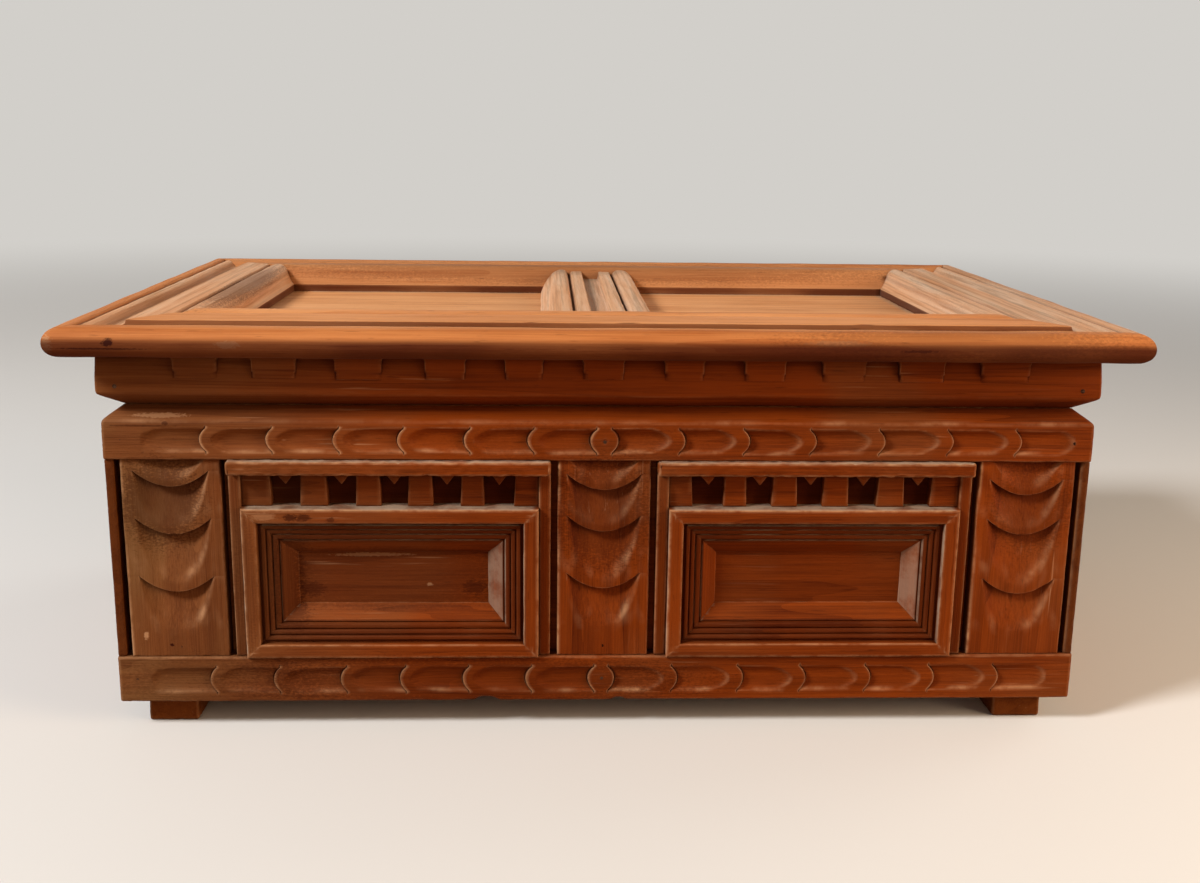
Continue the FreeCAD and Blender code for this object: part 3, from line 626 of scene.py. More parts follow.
def divide(bm, spacing):
    """Slice a piece across each axis, so that its faces are small enough to wave and wear."""
    margin = 0.5 * MM
    beside_ends = (1.4 * MM, 2.2 * MM)
    for axis in range(3):
        places = [vert.co[axis] for vert in bm.verts]
        low, high = min(places), max(places)
        normal = Vector((axis == 0, axis == 1, axis == 2))
        count = int((high - low) / spacing)
        slices = [low + (high - low) * step / count for step in range(1, count)]
        slices += [low + reach for reach in beside_ends] + [high - reach for reach in beside_ends]
        for place in slices:
            if low + margin < place < high - margin:
                slit(bm, normal * place, normal)


def soften(bm, width, segments=3):
    """Round the sharp edges of a piece."""
    least = math.radians(25)
    sharp = [edge for edge in bm.edges if edge.is_manifold and edge.calc_face_angle() > least]
    bmesh.ops.bevel(bm, geom=sharp, offset=width, offset_type="OFFSET", affect="EDGES", segments=segments,
                    profile=0.5, material=-1, clamp_overlap=True)


def block(low, high):
    """A plain block between two corners."""
    low, high = Vector(low), Vector(high)
    bm = bmesh.new()
    bmesh.ops.create_cube(bm, size=1.0)
    bmesh.ops.scale(bm, vec=high - low, verts=bm.verts)
    bmesh.ops.translate(bm, vec=(low + high) / 2, verts=bm.verts)
    return bm


def wave(bm, amount, size, seed):
    """Leave the slight unevenness of hand work on a piece."""
    bm.normal_update()
    for vert in bm.verts:
        vert.co += vert.normal * amount * noise.noise(vert.co / size + Vector((seed, 0, 0)))


def carved(columns, rows, shape, thickness, matrix):
    """A board whose face is carved: shape gives the place, depth and paleness of each point of its face,
    where the paleness holds wear and painted highlights.
    """
    bm = bmesh.new()
    wide, tall = len(columns) - 1, len(rows) - 1
    bmesh.ops.create_grid(bm, x_segments=wide, y_segments=tall, size=1.0)
    pale = bm.verts.layers.float.new("pale")
    for vert in bm.verts:
        u = columns[round((vert.co.x + 1) / 2 * wide)]
        v = rows[round((vert.co.y + 1) / 2 * tall)]
        u, v, depth, vert[pale] = shape(u, v)
        vert.co = Vector((u, v, -depth)) * MM
    rims = [edge for edge in bm.edges if edge.is_boundary]
    sides = bmesh.ops.extrude_edge_only(bm, edges=rims)["geom"]
    for vert in points(sides):
        vert.co.z = -thickness * MM
        vert[pale] = 0.0
    bmesh.ops.contextual_create(bm, geom=[edge for edge in lines(sides) if edge.is_boundary])
    bmesh.ops.transform(bm, matrix=matrix, verts=bm.verts)
    return bm


def facing(turn, face):
    """Stand a carved face up, turned about Z, at a distance from the middle."""
    return Matrix.Rotation(math.radians(turn), 4, "Z") @ Matrix.Translation((0, -face, 0)) @ FRONT


def moulded(profile, run, spacing):
    """A moulding of corners with roundings, run along X about the middle."""
    longest, part = 1.6 * MM, 0.8 * MM
    bm = bmesh.new()
    corners = [bm.verts.new((0, inset * MM, height * MM)) for inset, height, _ in profile]
    bm.faces.new(corners)
    for corner, (_, _, radius) in zip(corners, profile):
        if radius:
            bmesh.ops.bevel(bm, geom=[corner], offset=radius * MM, offset_type="OFFSET", affect="VERTICES",
                            segments=max(2, min(9, round(2 + radius * 1.4))), profile=0.5, material=-1,
                            clamp_overlap=True)
    for edge in bm.edges[:]:
        if edge.calc_length() > longest:
            bmesh.ops.subdivide_edges(bm, edges=[edge], cuts=int(edge.calc_length() / part))
    swept(bm, (run, 0, 0))
    bmesh.ops.translate(bm, vec=(-run / 2, 0, 0), verts=bm.verts)
    lengthways = [edge for edge in bm.edges if abs(edge.verts[0].co.x - edge.verts[1].co.x) > run / 2]
    bmesh.ops.subdivide_edges(bm, edges=lengthways, cuts=int(run / spacing), use_grid_fill=True)
    return bm


def mitred(profile, run, across, spacing):
    """One side of a mitred frame, with its outer edge along -Y."""
    bm = moulded(profile, run, spacing)
    bmesh.ops.translate(bm, vec=(0, -across / 2, 0), verts=bm.verts)
    for side in (-1, 1):
        trim(bm, Vector((side * run / 2, -across / 2, 0)), Vector((side, 1, 0)))
    return bm


def bends(mesh):
    """How sharply each point of a mesh is bent, per millimetre, outwards and inwards."""
    least_square = 0.2
    count = len(mesh.vertices)
    place = np.empty(count * 3)
    mesh.vertices.foreach_get("co", place)
    place = place.reshape(-1, 3) / MM
    normal = np.empty(count * 3)
    mesh.vertices.foreach_get("normal", normal)
    normal = normal.reshape(-1, 3)
    ends = np.empty(len(mesh.edges) * 2, dtype=int)
    mesh.edges.foreach_get("vertices", ends)
    a, b = ends.reshape(-1, 2).T
    span = place[b] - place[a]
    square = np.maximum(np.einsum("ij,ij->i", span, span), least_square)
    ridge, hollow = np.zeros(count), np.zeros(count)
    for near, way in ((a, -2), (b, 2)):
        bend = way * np.einsum("ij,ij->i", span, normal[near]) / square
        np.maximum.at(ridge, near, bend)
        np.maximum.at(hollow, near, -bend)
    neighbours = np.maximum(np.bincount(a, minlength=count) + np.bincount(b, minlength=count), 1)
    for field in (ridge, hollow):
        field += (np.bincount(a, field[b], count) + np.bincount(b, field[a], count)) / neighbours
        field /= 2
    return ridge, hollow, place, normal


# Where a piece is raw, dusty, dirty, rubbed, or given painted shade or light: each gives a level from 0 to 1
# for all its points

def plain(place, normal):
    return np.zeros(len(place))


def exposed(place, normal):
    return np.ones(len(place))


def raw_inside(place, normal):
    """Unstained wood: what lies inside the case or under the lid."""
    x, y, z = place.T
    front, back = INSIDE_DEPTH
    floor, ceiling = INSIDE_HEIGHT
    inner = (abs(x) < INSIDE_HALF_WIDTH) & (y > front) & (y < back) & (z > floor) & (z < ceiling)
    return inner * 0.95


def ledge_dust(place, normal):
    """Dust on faces that look up."""
    return np.where(normal[:, 2] > 0.75, 0.2, 0.0)


def sheltered(place, normal):
    """Little rubs a false drawer front behind its outer band."""
    return np.where(place[:, 1] < BAND_BACK, 1.0, 0.3)


def evenly_darker(place, normal):
    """Evenly a little darker all over; on the back moulding, whose roll faces the front, this is painted
    shade.
    """
    return np.full(len(place), 0.3)


def placed(mesh, node, body, material, crease):
    """Make a mesh the object that stands for its node."""
    mesh.polygons.foreach_set("use_smooth", [True] * len(mesh.polygons))
    mesh.set_sharp_from_angle(angle=math.radians(crease))
    mesh.update()
    mesh.materials.append(material)
    piece = bpy.data.objects.new(mesh.name, mesh)
    bpy.context.scene.collection.objects.link(piece)
    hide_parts(node)
    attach(piece, body)


def meshed(bm, name):
    """Close a modelled piece into a mesh whose faces point outwards."""
    bmesh.ops.recalc_face_normals(bm, faces=bm.faces)
    mesh = bpy.data.meshes.new(name)
    bm.to_mesh(mesh)
    bm.free()
    return mesh


def finished(bm, node, body, slot, grain, wear=1.0, grime_and_shade=1.0, nick=0.35, raw=plain, dust=plain,
             under=0.0, soil=plain, rubbing=exposed, corner_dirt=CORNER_SHADE):
    """Turn a modelled piece into an object that stands for its node, with its wear, grime and painted shade
    and highlights written on the mesh.
    """
    worn_bend, grimed_and_shaded_bend, bend_span = 0.3, 0.25, 0.9
    least_ridge, nick_size, nick_start = 0.05, 4.0, 0.12
    underside_shade_start = 0.42
    mesh = meshed(bm, f"wood_{node}")
    ridge, hollow, place, normal = bends(mesh)
    ridge = np.clip((ridge - worn_bend) / bend_span, 0, 1)
    # Creases get grime and painted shade
    crease_grime_and_shade = np.clip((hollow - grimed_and_shaded_bend) / bend_span, 0, 1)
    seed = Vector((own_number(node) * 0.37, 0, 0))
    dents = np.zeros(len(place))
    for index in np.nonzero(ridge > least_ridge)[0]:
        spot = Vector(place[index] / nick_size) + seed
        dents[index] = max(0.0, noise.noise(spot) + 0.5 * noise.noise(spot * 3.1) - nick_start)
    place = place - normal * (ridge * dents * nick)[:, None]
    mesh.vertices.foreach_set("co", (place * MM).ravel())
    # Painted shade on faces that look down, such as the underside of the lid's nosing
    underside_shade = under * np.clip(underside_shade_start - normal[:, 2], 0, 1)
    marks = np.zeros((len(place), 4))
    # Channels: wear and painted highlights; grime and painted shade; dust, bleaching and painted light; raw
    # wood
    marks[:, 0] = ridge * wear * rubbing(place, normal)
    marks[:, 1] = np.maximum(np.maximum(crease_grime_and_shade * grime_and_shade, soil(place, normal)), underside_shade)
    marks[:, 2] = dust(place, normal)
    marks[:, 3] = raw(place, normal)
    if "pale" in mesh.attributes:
        pale = np.empty(len(place))
        mesh.attributes["pale"].data.foreach_get("value", pale)
        marks[:, 0] = np.maximum(marks[:, 0], pale)
        mesh.attributes.remove(mesh.attributes["pale"])
    layer = mesh.attributes.new("finish", "FLOAT_COLOR", "POINT")
    layer.data.foreach_set("color", np.clip(marks, 0, 1).astype(np.float32).ravel())
    placed(mesh, node, body, pine(slot, grain, corner_dirt), crease=48)


def board(node, body, slot, grain, edge=None, spacing=5.0, hacked=0.0, **options):
    """A plain board in its node's place, with rounded and worn edges."""
    carving = settings().carving
    low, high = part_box(node)
    bm = block(low, high)
    soften(bm, carving.edge if edge is None else edge * MM)
    divide(bm, spacing * MM)
    wave(bm, amount=carving.wave, size=30 * MM, seed=own_number(node) * 0.11)
    if hacked:
        wave(bm, amount=hacked * MM, size=3 * MM, seed=1.0)
    finished(bm, node, body, slot, grain, **options)


# Pieces

def carve_rail(node):
    """A rail of the front, with a row of gouge cuts on each side of its middle."""
    carving = settings().carving
    ripple = carving.wave / MM
    bow = carving.stop_bow / MM
    thickness, deepest = 8.9, 8.4
    spoon_end, rim_softness = 7.5, 0.24
    stop_depth, stop_width, burr = 0.55, 0.32, 0.16
    peg_hole = 0.7
    low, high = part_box(node)
    left, right = low.x / MM, high.x / MM
    bottom, top = low.z / MM, high.z / MM
    cuts = SCOOPS[node]
    middle, tall, share_of_depth = cuts["height"]
    scoops = []
    for side, way in (("left", -1), ("right", 1)):
        far, stops = cuts[side]
        for stop in stops:
            reach = abs(far - stop)
            deep = carving.scoop_depth / MM * share_of_depth
            deep *= 1 + 0.3 * unevenness(stop * 0.13, bottom, 3.0)
            lean = 0.7 * unevenness(stop * 0.21, bottom, 8.0)
            scoops.append((stop, reach, way, deep, lean))
            far = stop - way * SCOOP_LANDS[side]

    def gouge(u, t, stop, reach, way, deep, lean):
        """Depth and paleness that one gouge cut and its stop give a point."""
        depth, pale = 0.0, 0.0
        along = (u - stop) * way
        if 0 < along < reach:
            tilted = t - lean * along / reach * 0.35
            spoon = max(0.0, (along - reach) / spoon_end + 1)
            hollow = 1 - math.hypot(spoon, tilted) ** 3
            depth += over(deep * hollow * (1 - 0.3 * along / reach), rim_softness)
            # Pale wear along the scoop's lower edge, which faces up, with a painted highlight there
            low_edge = bump_at(tilted, -0.93, 0.14) * (1 - spoon ** 2)
            pale = 0.75 * low_edge * max(0.0, 0.45 + 1.2 * unevenness(u / 9, 2.0, bottom))
            # Painted highlight on the far end of each scoop right of the middle, which faces the key lamp
            if way > 0:
                pale = max(pale, 0.36 * spoon * bump_at(hollow, 0.3, 0.3))
        if -1.6 < along < 0.5 and abs(t) < 1.2:
            fade = max(0.0, min(1.0, (1.2 - abs(t)) / 0.15))
            depth += stop_depth * fade * max(0.0, 1 - abs(along - 0.1) / stop_width)
            if along < 0.02:
                depth -= burr * fade * bump_at(along, -0.3, 0.3)
                # A pale line of raw fibre beside each stop, with a strong painted highlight on the left of
                # the middle, where it faces the key lamp
                pale = max(pale, (1.5 if way < 0 else 0.2) * fade * bump_at(along, -0.4, 0.5))
        return depth, pale

    def shape(u, v):
        t = (v - middle) / (tall / 2)
        depth = ripple * (1.3 * unevenness(u / 60, v / 9, 1.0) + 0.5 * unevenness(u / 17, v / 2.2, 5.0))
        pale = 0.0
        for scoop in scoops:
            cut_depth, cut_pale = gouge(u, t, *scoop)
            depth += cut_depth
            pale = max(pale, cut_pale)
        rounding = 0.9 + 0.5 * unevenness(u / 14, v / 30, 2.0)
        depth += rim(v - bottom, rounding) + rim(right - abs(u), rounding + 0.3)
        reach = right
        if node == "top_rail":
            depth += peg_hole * bump_at(math.hypot(u, v - middle), 0.0, peg_hole)
            start = top - CASE_BEVEL_HEIGHT
            rise = over(v - (start + 0.3 * unevenness(u / 50, 0.0, 4.0)), 0.7)
            fall = rise * CASE_BEVEL_DEPTH / CASE_BEVEL_HEIGHT
            depth += fall
            reach = right - min(CASE_BEVEL_DEPTH, fall)
            rubbed = max(0.0, 0.35 + 1.4 * unevenness(u / 23, 0.0, 6.0))
            pale = max(pale, 0.45 * bump_at(v, start, 0.8) * rubbed)
        else:
            depth += rim(top - v, rounding)
        for place, half, height in NOTCHES[node]:
            v += height * math.exp(-((u - place) / half) ** 4) * max(0.0, 1 - (v - bottom) / 5)
        if abs(u) > right - CORNER_RUN:
            x = drawn_in(u, right, reach)
        else:
            x = u - math.copysign(bow * min(1.0, t * t) * min(1.0, abs(u) / 5), u)
        return x, v, min(depth, deepest), pale

    beside_stop = (-1.3, -0.95, -0.65, -0.35, -0.12, 0.12, 0.35, 0.6, 0.9)
    columns = steps(left, right, spacing=0.8, marks=[scoop[0] for scoop in scoops], near=beside_stop)
    rows = steps(bottom, top, spacing=0.62)
    bm = carved(columns, rows, shape, thickness, facing(0, -low.y))
    finished(bm, node, "case", "front_pine", "x", wear=0.8)


def carve_pilaster(node):
    """A pilaster of the front, carved with scales that hang one over the other."""
    carving = settings().carving
    ripple = carving.wave / MM
    width = carving.scale_half_width / MM
    bow = carving.scale_bow / MM
    deep = carving.scale_depth / MM
    thickness, deepest, rim_softness = 7.4, 7.0, 0.12
    low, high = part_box(node)
    bottom, top = low.z / MM, high.z / MM
    middle = (low.x + high.x) / 2 / MM
    half = (high.x - low.x) / 2 / MM
    hangs = SCALE_BOTTOMS[node]

    def shape(u, v):
        across = min(1.0, abs(u) / width)
        ease = min(1.0, (top - v) / 9, (v - bottom) / 22)
        z = v + bow * across ** 2 * max(0.0, ease)
        depth = ripple * (1.2 * unevenness(u / 9, v / 40, middle) + 0.6 * unevenness(u / 2.2, v / 14, 5.0))
        pale = 0.0
        for number, (hang, fade) in enumerate(zip(hangs, hangs[1:])):
            if fade < v <= hang:
                s = (hang - v) / (hang - fade)
                hollow = 1 - (s / 0.85) ** 1.2 - across ** 3.6
                depth += over(deep * (1 - 0.06 * number) * hollow, rim_softness)
                rough = max(0.0, 0.6 + unevenness(u / 4, v / 9, 2.0))
                # Painted highlight on the right wall of each hollow, which faces the key lamp
                if u > 0:
                    pale = 0.6 * rough * bump_at(hollow, 0.16, 0.17) * min(1.0, across / 0.5)
                pale = max(pale, 0.3 * (rough - 0.5) * bump_at(s, 0.75, 0.2))
        # Pale wear and a painted highlight along the left edge, which faces the key lamp
        left_edge = bump_at(half + u, 0.5, 0.6)
        pale = max(pale, 1.1 * left_edge * max(0.0, 0.6 + unevenness(u / 4, v / 25, 3.0)))
        rounding = 0.7 + 0.4 * unevenness(u / 5, v / 16, 2.0)
        depth += rim(half - abs(u), rounding) + rim(top - v, 0.4) + rim(v - bottom, 0.4)
        return u + middle, z, min(depth, deepest), pale

    beside_rim = (-0.5, -0.3, -0.1, 0.1, 0.3, 0.5)
    columns = steps(-half, half, spacing=0.6, marks=(-width, width), near=(-0.5, -0.2, 0.2))
    rows = steps(bottom, top, spacing=0.66, marks=hangs[1:4], near=beside_rim)
    bm = carved(columns, rows, shape, thickness, facing(0, -low.y))
    finished(bm, node, "case", "front_pine", "z", wear=0.75)


def carve_skirt(node, turn, dentils):
    """A skirt of the lid, turned to its side. All but the back one have dentils and a sloped foot."""
    carving = settings().carving
    ripple = carving.wave / MM
    dentil = carving.dentil_depth / MM
    thickness, deepest = 16.9, 15.0
    dentil_height, ground_height = 10.4, 10.2
    slope = SKIRT_SLOPE_DEPTH / SKIRT_SLOPE_HEIGHT
    low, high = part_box(node)
    bottom, top = low.z / MM, high.z / MM
    full_width = turn in (0, 180)
    if full_width:
        middle = 0.0
        left, right = low.x / MM, high.x / MM
        face = -low.y if turn == 0 else high.y
    else:
        middle = (low.y + high.y) / 2 / MM
        left, right = low.y / MM - middle, high.y / MM - middle
        face = -low.x if turn == -90 else high.x
    hangs = [top - dentil_height + 0.9 * unevenness(a / 31, turn, 2.0) for a, _ in dentils]

    def between_dentils(u, v):
        """Depth of the cut ground beside the dentils and under them."""
        ground = top - ground_height
        for (a, b), hang in zip(dentils, hangs):
            lean = 0.06 * (top - v) * (1 if u < (a + b) / 2 else -1)
            if a + lean < u < b + lean and v > hang:
                return 0.0
            if a - 2 < u < b + 2:
                ground = hang
        fall = v - ground
        return 0.6 + dentil * fall / dentil_height if fall > 0 else 0.6 * math.exp(fall / 2.2)

    def shape(u, v):
        depth = ripple * (1.5 * unevenness(u / 70, v / 9, turn) + 0.5 * unevenness(u / 16, v / 2.4, 7.0))
        if dentils:
            depth += between_dentils(u, v)
        start = bottom + SKIRT_SLOPE_HEIGHT
        rounding = 0.8 + 0.5 * unevenness(u / 14, v / 30, 2.0)
        if turn == 180:
            depth += rim(v - bottom, rounding)
        else:
            depth += over(start + 0.5 * unevenness(u / 45, 0.0, 9.0) - v, 0.6) * slope
        x = u
        if full_width:
            depth += rim(right - abs(u), rounding)
            if abs(u) > right - CORNER_RUN:
                x = drawn_in(u, right, right - min(SKIRT_SLOPE_DEPTH, over(start - v, 0.6) * slope))
        return (x - middle if turn == -90 else x + middle), v, min(depth, deepest), 0.0

    flanks = [place for pair in dentils for place in pair]
    columns = steps(left, right, spacing=1.3, marks=flanks, near=(-0.45, -0.15, 0.15, 0.45))
    rows = steps(bottom, top, spacing=0.8, marks=sorted(set(hangs)), near=(-0.14, 0.14))
    bm = carved(columns, rows, shape, thickness, facing(turn, face))
    slot = "front_pine" if turn == 0 else "case_pine"
    finished(bm, node, "lid", slot, "x" if full_width else "y", wear=0.35, raw=raw_inside)


class CARVEDBOX_OT_rails(bpy.types.Operator):
    """Carve the rails over and under the front with their rows of gouge cuts"""
    bl_idname = "carved_box.rails"
    bl_label = "Rails"

    def execute(self, context):
        for node in SCOOPS:
            carve_rail(node)
        return {"FINISHED"}


class CARVEDBOX_OT_pilasters(bpy.types.Operator):
    """Carve the three pilasters with hanging scales"""
    bl_idname = "carved_box.pilasters"
    bl_label = "Pilasters"

    def execute(self, context):
        for node in SCALE_BOTTOMS:
            carve_pilaster(node)
        return {"FINISHED"}


class CARVEDBOX_OT_carcass(bpy.types.Operator):
    """Make the plain boards of the case"""
    bl_idname = "carved_box.carcass"
    bl_label = "Carcass"

    def execute(self, context):
        # Little painted shade from ambient occlusion in the front board's corners
        self.long_board("front_board", "front_pine", soil=self.shade_behind_teeth,
                        corner_dirt=FRONT_BOARD_CORNER_SHADE)
        self.long_board("back_board", "case_pine")
        board("bottom_board", "case", "case_pine", "x", raw=raw_inside)
        for side, sign in (("left", -1), ("right", 1)):
            self.end_board(f"{side}_end_board", sign)
        return {"FINISHED"}

    def long_board(self, node, slot, **options):
        """The front or the back, its top edge sloped off to both ends."""
        low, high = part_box(node)
        bm = block(low, high)
        for sign in (-1, 1):
            self.slope_off(bm, sign, high.z)
        self.planed(bm, 4.0)
        finished(bm, node, "case", slot, "x", raw=raw_inside, **options)

    def end_board(self, node, sign):
        """An end with a thin lip behind the rails and a strip that shows between them."""
        low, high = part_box(node)
        tongue, lip, strip, wall = 3.8 * MM, 9.0 * MM, 7.5 * MM, 14.0 * MM
        field = [corner.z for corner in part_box("left_pilaster")]
        outer = sign * CASE_HALF_WIDTH * MM
        inner = outer - sign * wall
        bm = block((min(outer, inner), low.y + lip + strip, low.z), (max(outer, inner), high.y, high.z))
        slit(bm, (outer - sign * tongue, 0, 0), (1, 0, 0))
        for level in field:
            slit(bm, (0, 0, level), (0, 0, 1))
        for depth, bottom, top in ((lip, low.z, high.z), (strip, *field)):
            front = min(vert.co.y for vert in bm.verts)
            faces = []
            for face in bm.faces:
                middle = face.calc_center_median()
                at_front = abs(middle.y - front) < 1e-6 and bottom < middle.z < top
                if at_front and abs(middle.x - outer) < tongue:
                    faces.append(face)
            pushed(bm, faces, (0, -depth, 0))
        self.slope_off(bm, sign, high.z)
        bmesh.ops.dissolve_limit(bm, angle_limit=0.01, verts=bm.verts, edges=bm.edges)
        self.planed(bm, 2.0 + sign)
        finished(bm, node, "case", "case_pine", "y", raw=raw_inside, soil=self.strip_shade,
                 rubbing=self.sheltered_strip if sign < 0 else exposed)

    def slope_off(self, bm, sign, top):
        """Slope the top edge of a board down to one end of the case."""
        trim(bm, Vector((sign * CASE_HALF_WIDTH * MM, 0, top - CASE_BEVEL_HEIGHT * MM)),
             Vector((sign * CASE_BEVEL_HEIGHT, 0, CASE_BEVEL_DEPTH)))

    def planed(self, bm, seed):
        """Round the edges of a carcass board, and leave the plane's waves on it."""
        soften(bm, width=0.8 * MM)
        divide(bm, spacing=5 * MM)
        wave(bm, amount=settings().carving.wave, size=30 * MM, seed=seed)

    def shade_behind_teeth(self, place, normal):
        """The fields of the false drawer fronts a little darker, and painted shade behind their toothed
        strips.
        """
        low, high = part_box("left_panel_dentils")
        x, _, z = place.T
        panel = (abs(x) > -high.x / MM) & (abs(x) < -low.x / MM)
        teeth = panel & (z > low.z / MM) & (z < high.z / MM)
        return np.where(teeth, 0.9, np.where(panel, 0.32, 0.0))

    def strip_shade(self, place, normal):
        """Painted shade on the front of the narrow strip of an end board that shows at the front."""
        return np.where((normal[:, 1] < -0.3) & (place[:, 1] < END_STRIP_BACK), 0.75, 0.0)

    def sheltered_strip(self, place, normal):
        """Little rubs the left end board beside the front."""
        return np.where(place[:, 1] < END_STRIP_BACK, 0.15, 1.0)


class CARVEDBOX_OT_feet(bpy.types.Operator):
    """Make the four rough-sawn feet"""
    bl_idname = "carved_box.feet"
    bl_label = "Feet"

    def execute(self, context):
        saw_depth, margin = 0.22 * MM, 1 * MM
        saw_waves = Vector((700, 700, 150))
        for end in ("front", "back"):
            for side in SIDES:
                node = f"{end}_{side}_foot"
                low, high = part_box(node)
                bm = block(low, high)
                soften(bm, width=1.2 * MM)
                divide(bm, spacing=1.2 * MM)
                for vert in bm.verts:
                    if low.z + margin < vert.co.z < high.z - margin:
                        vert.co += vert.normal * saw_depth * noise.noise(vert.co * saw_waves)
                finished(bm, node, "case", "case_pine", "y", wear=0.9, nick=0.6, soil=evenly_darker)
        return {"FINISHED"}


class CARVEDBOX_OT_panels(bpy.types.Operator):
    """Make the two false drawer fronts: caps, toothed strips, posts and mitred frames"""
    bl_idname = "carved_box.panels"
    bl_label = "False drawer fronts"

    def execute(self, context):
        for side in SIDES:
            panel = f"{side}_panel"
            board(f"{panel}_cap", "case", "front_pine", "x", edge=1.2, spacing=1.2, hacked=0.45, nick=1.1,
                  dust=ledge_dust)
            for role in ("outer", "inner"):
                board(f"{panel}_{role}_post", "case", "front_pine", "z", edge=0.7, spacing=3.0, soil=evenly_darker)
            self.teeth(f"{panel}_dentils", TOOTH_BLOCKS[side], evenly_darker if side == "left" else plain)
            self.frame(panel, side)
        return {"FINISHED"}

    def teeth(self, node, blocks, soil):
        """A strip sawn into blocks, with a pointed tooth between each two of them."""
        band_height, tooth_half_width, tooth_height = 1.4, 3.1, 4.1
        low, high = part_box(node)
        left, right = low.x / MM, high.x / MM
        bottom, top = low.z / MM, high.z / MM
        band = top - band_height
        outline = [(left, top), (left, bottom)]
        for (_, a), (b, _) in zip(blocks, blocks[1:]):
            middle = (a + b) / 2
            tilt = 0.5 * unevenness(a / 7, 0.0, 3.0)
            outline += [(a + 0.3 + tilt, bottom), (a - 0.2, band), (middle - tooth_half_width, band),
                        (middle + tilt, band - tooth_height + tilt), (middle + tooth_half_width, band),
                        (b + 0.1, band), (b - 0.5 + tilt, bottom)]
        outline += [(right, bottom), (right, top)]
        bm = bmesh.new()
        bm.faces.new([bm.verts.new((x * MM, low.y, z * MM)) for x, z in outline])
        swept(bm, (0, high.y - low.y, 0))
        bmesh.ops.recalc_face_normals(bm, faces=bm.faces)
        soften(bm, width=0.4 * MM, segments=2)
        bmesh.ops.triangulate(bm, faces=[face for face in bm.faces if len(face.verts) > 4])
        divide(bm, spacing=2.5 * MM)
        wave(bm, amount=0.1 * MM, size=8 * MM, seed=5.0)
        finished(bm, node, "case", "front_pine", "x", wear=0.5, nick=0.2, soil=soil)

    def frame(self, panel, side):
        """The mitred and reeded frame of one false drawer front."""
        boxes = [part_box(f"{panel}_frame_{role}") for role in ("top", "bottom", "outer", "inner")]
        low = Vector([min(box[0][axis] for box in boxes) for axis in range(3)])
        high = Vector([max(box[1][axis] for box in boxes) for axis in range(3)])
        wide, tall = high.x - low.x, high.z - low.z
        place = Matrix.Translation(((low.x + high.x) / 2, high.y, (low.z + high.z) / 2)) @ FRONT
        right_role, left_role = ("inner", "outer") if side == "left" else ("outer", "inner")
        for role, run, across, turn in (("bottom", wide, tall, 0), (right_role, tall, wide, 90),
                                        ("top", wide, tall, 180), (left_role, tall, wide, 270)):
            bm = mitred(FRAME_PROFILE, run, across, spacing=3 * MM)
            turned = place @ Matrix.Rotation(math.radians(turn), 4, "Z")
            bmesh.ops.transform(bm, matrix=turned, verts=bm.verts)
            wave(bm, amount=0.16 * MM, size=12 * MM, seed=turn + len(side))
            grain = "x" if role in ("top", "bottom") else "z"
            # The top side gets dust on its ledges; the other sides get painted light on the bevels that face
            # the key lamp
            dust = ledge_dust if role == "top" else self.lit_bevel
            finished(bm, f"{panel}_frame_{role}", "case", "front_pine", grain, rubbing=sheltered,
                     soil=self.reed_dirt_and_shade, dust=dust)

    def reed_dirt_and_shade(self, place, normal):
        """Dirt and painted shade between the reeds of a frame."""
        front, back = REEDS
        return np.where((place[:, 1] > front) & (place[:, 1] < back), 0.62, 0.0)

    def lit_bevel(self, place, normal):
        """Painted light, in the dust's colour, on the bevels and on the rims of the band that look to the
        left, toward the key lamp.
        """
        front, back = BAND_RIM
        bevel = np.where(place[:, 1] > BEVEL_FRONT, 0.15, 0.0)
        rim_of_band = np.where((place[:, 1] > front) & (place[:, 1] < back), 0.19, 0.0)
        return np.where(normal[:, 0] < -0.4, np.maximum(bevel, rim_of_band), 0.0)


class CARVEDBOX_OT_lid_tray(bpy.types.Operator):
    """Make the skirts round the lid with their dentils, and the lid's board"""
    bl_idname = "carved_box.lid_tray"
    bl_label = "Lid tray"

    def execute(self, context):
        carve_skirt("front_skirt", 0, FRONT_DENTILS)
        carve_skirt("left_skirt", -90, SIDE_DENTILS)
        carve_skirt("right_skirt", 90, SIDE_DENTILS)
        carve_skirt("back_skirt", 180, ())
        board("lid_board", "lid", "lid_pine", "x", raw=raw_inside, dust=self.swept_dust)
        return {"FINISHED"}

    def swept_dust(self, place, normal):
        """Dust along the feet of the right and back mouldings."""
        right_foot, back_foot = (163, 174), (80, 92)
        right_reach, bay_middle, bay_reach = 90, 95, 65
        x, y, _ = place.T
        by_right = (x > right_foot[0]) & (x < right_foot[1]) & (abs(y) < right_reach)
        by_back = (y > back_foot[0]) & (y < back_foot[1]) & (abs(abs(x) - bay_middle) < bay_reach)
        return np.where((by_right | by_back) & (normal[:, 2] > 0.8), 0.17, 0.0)


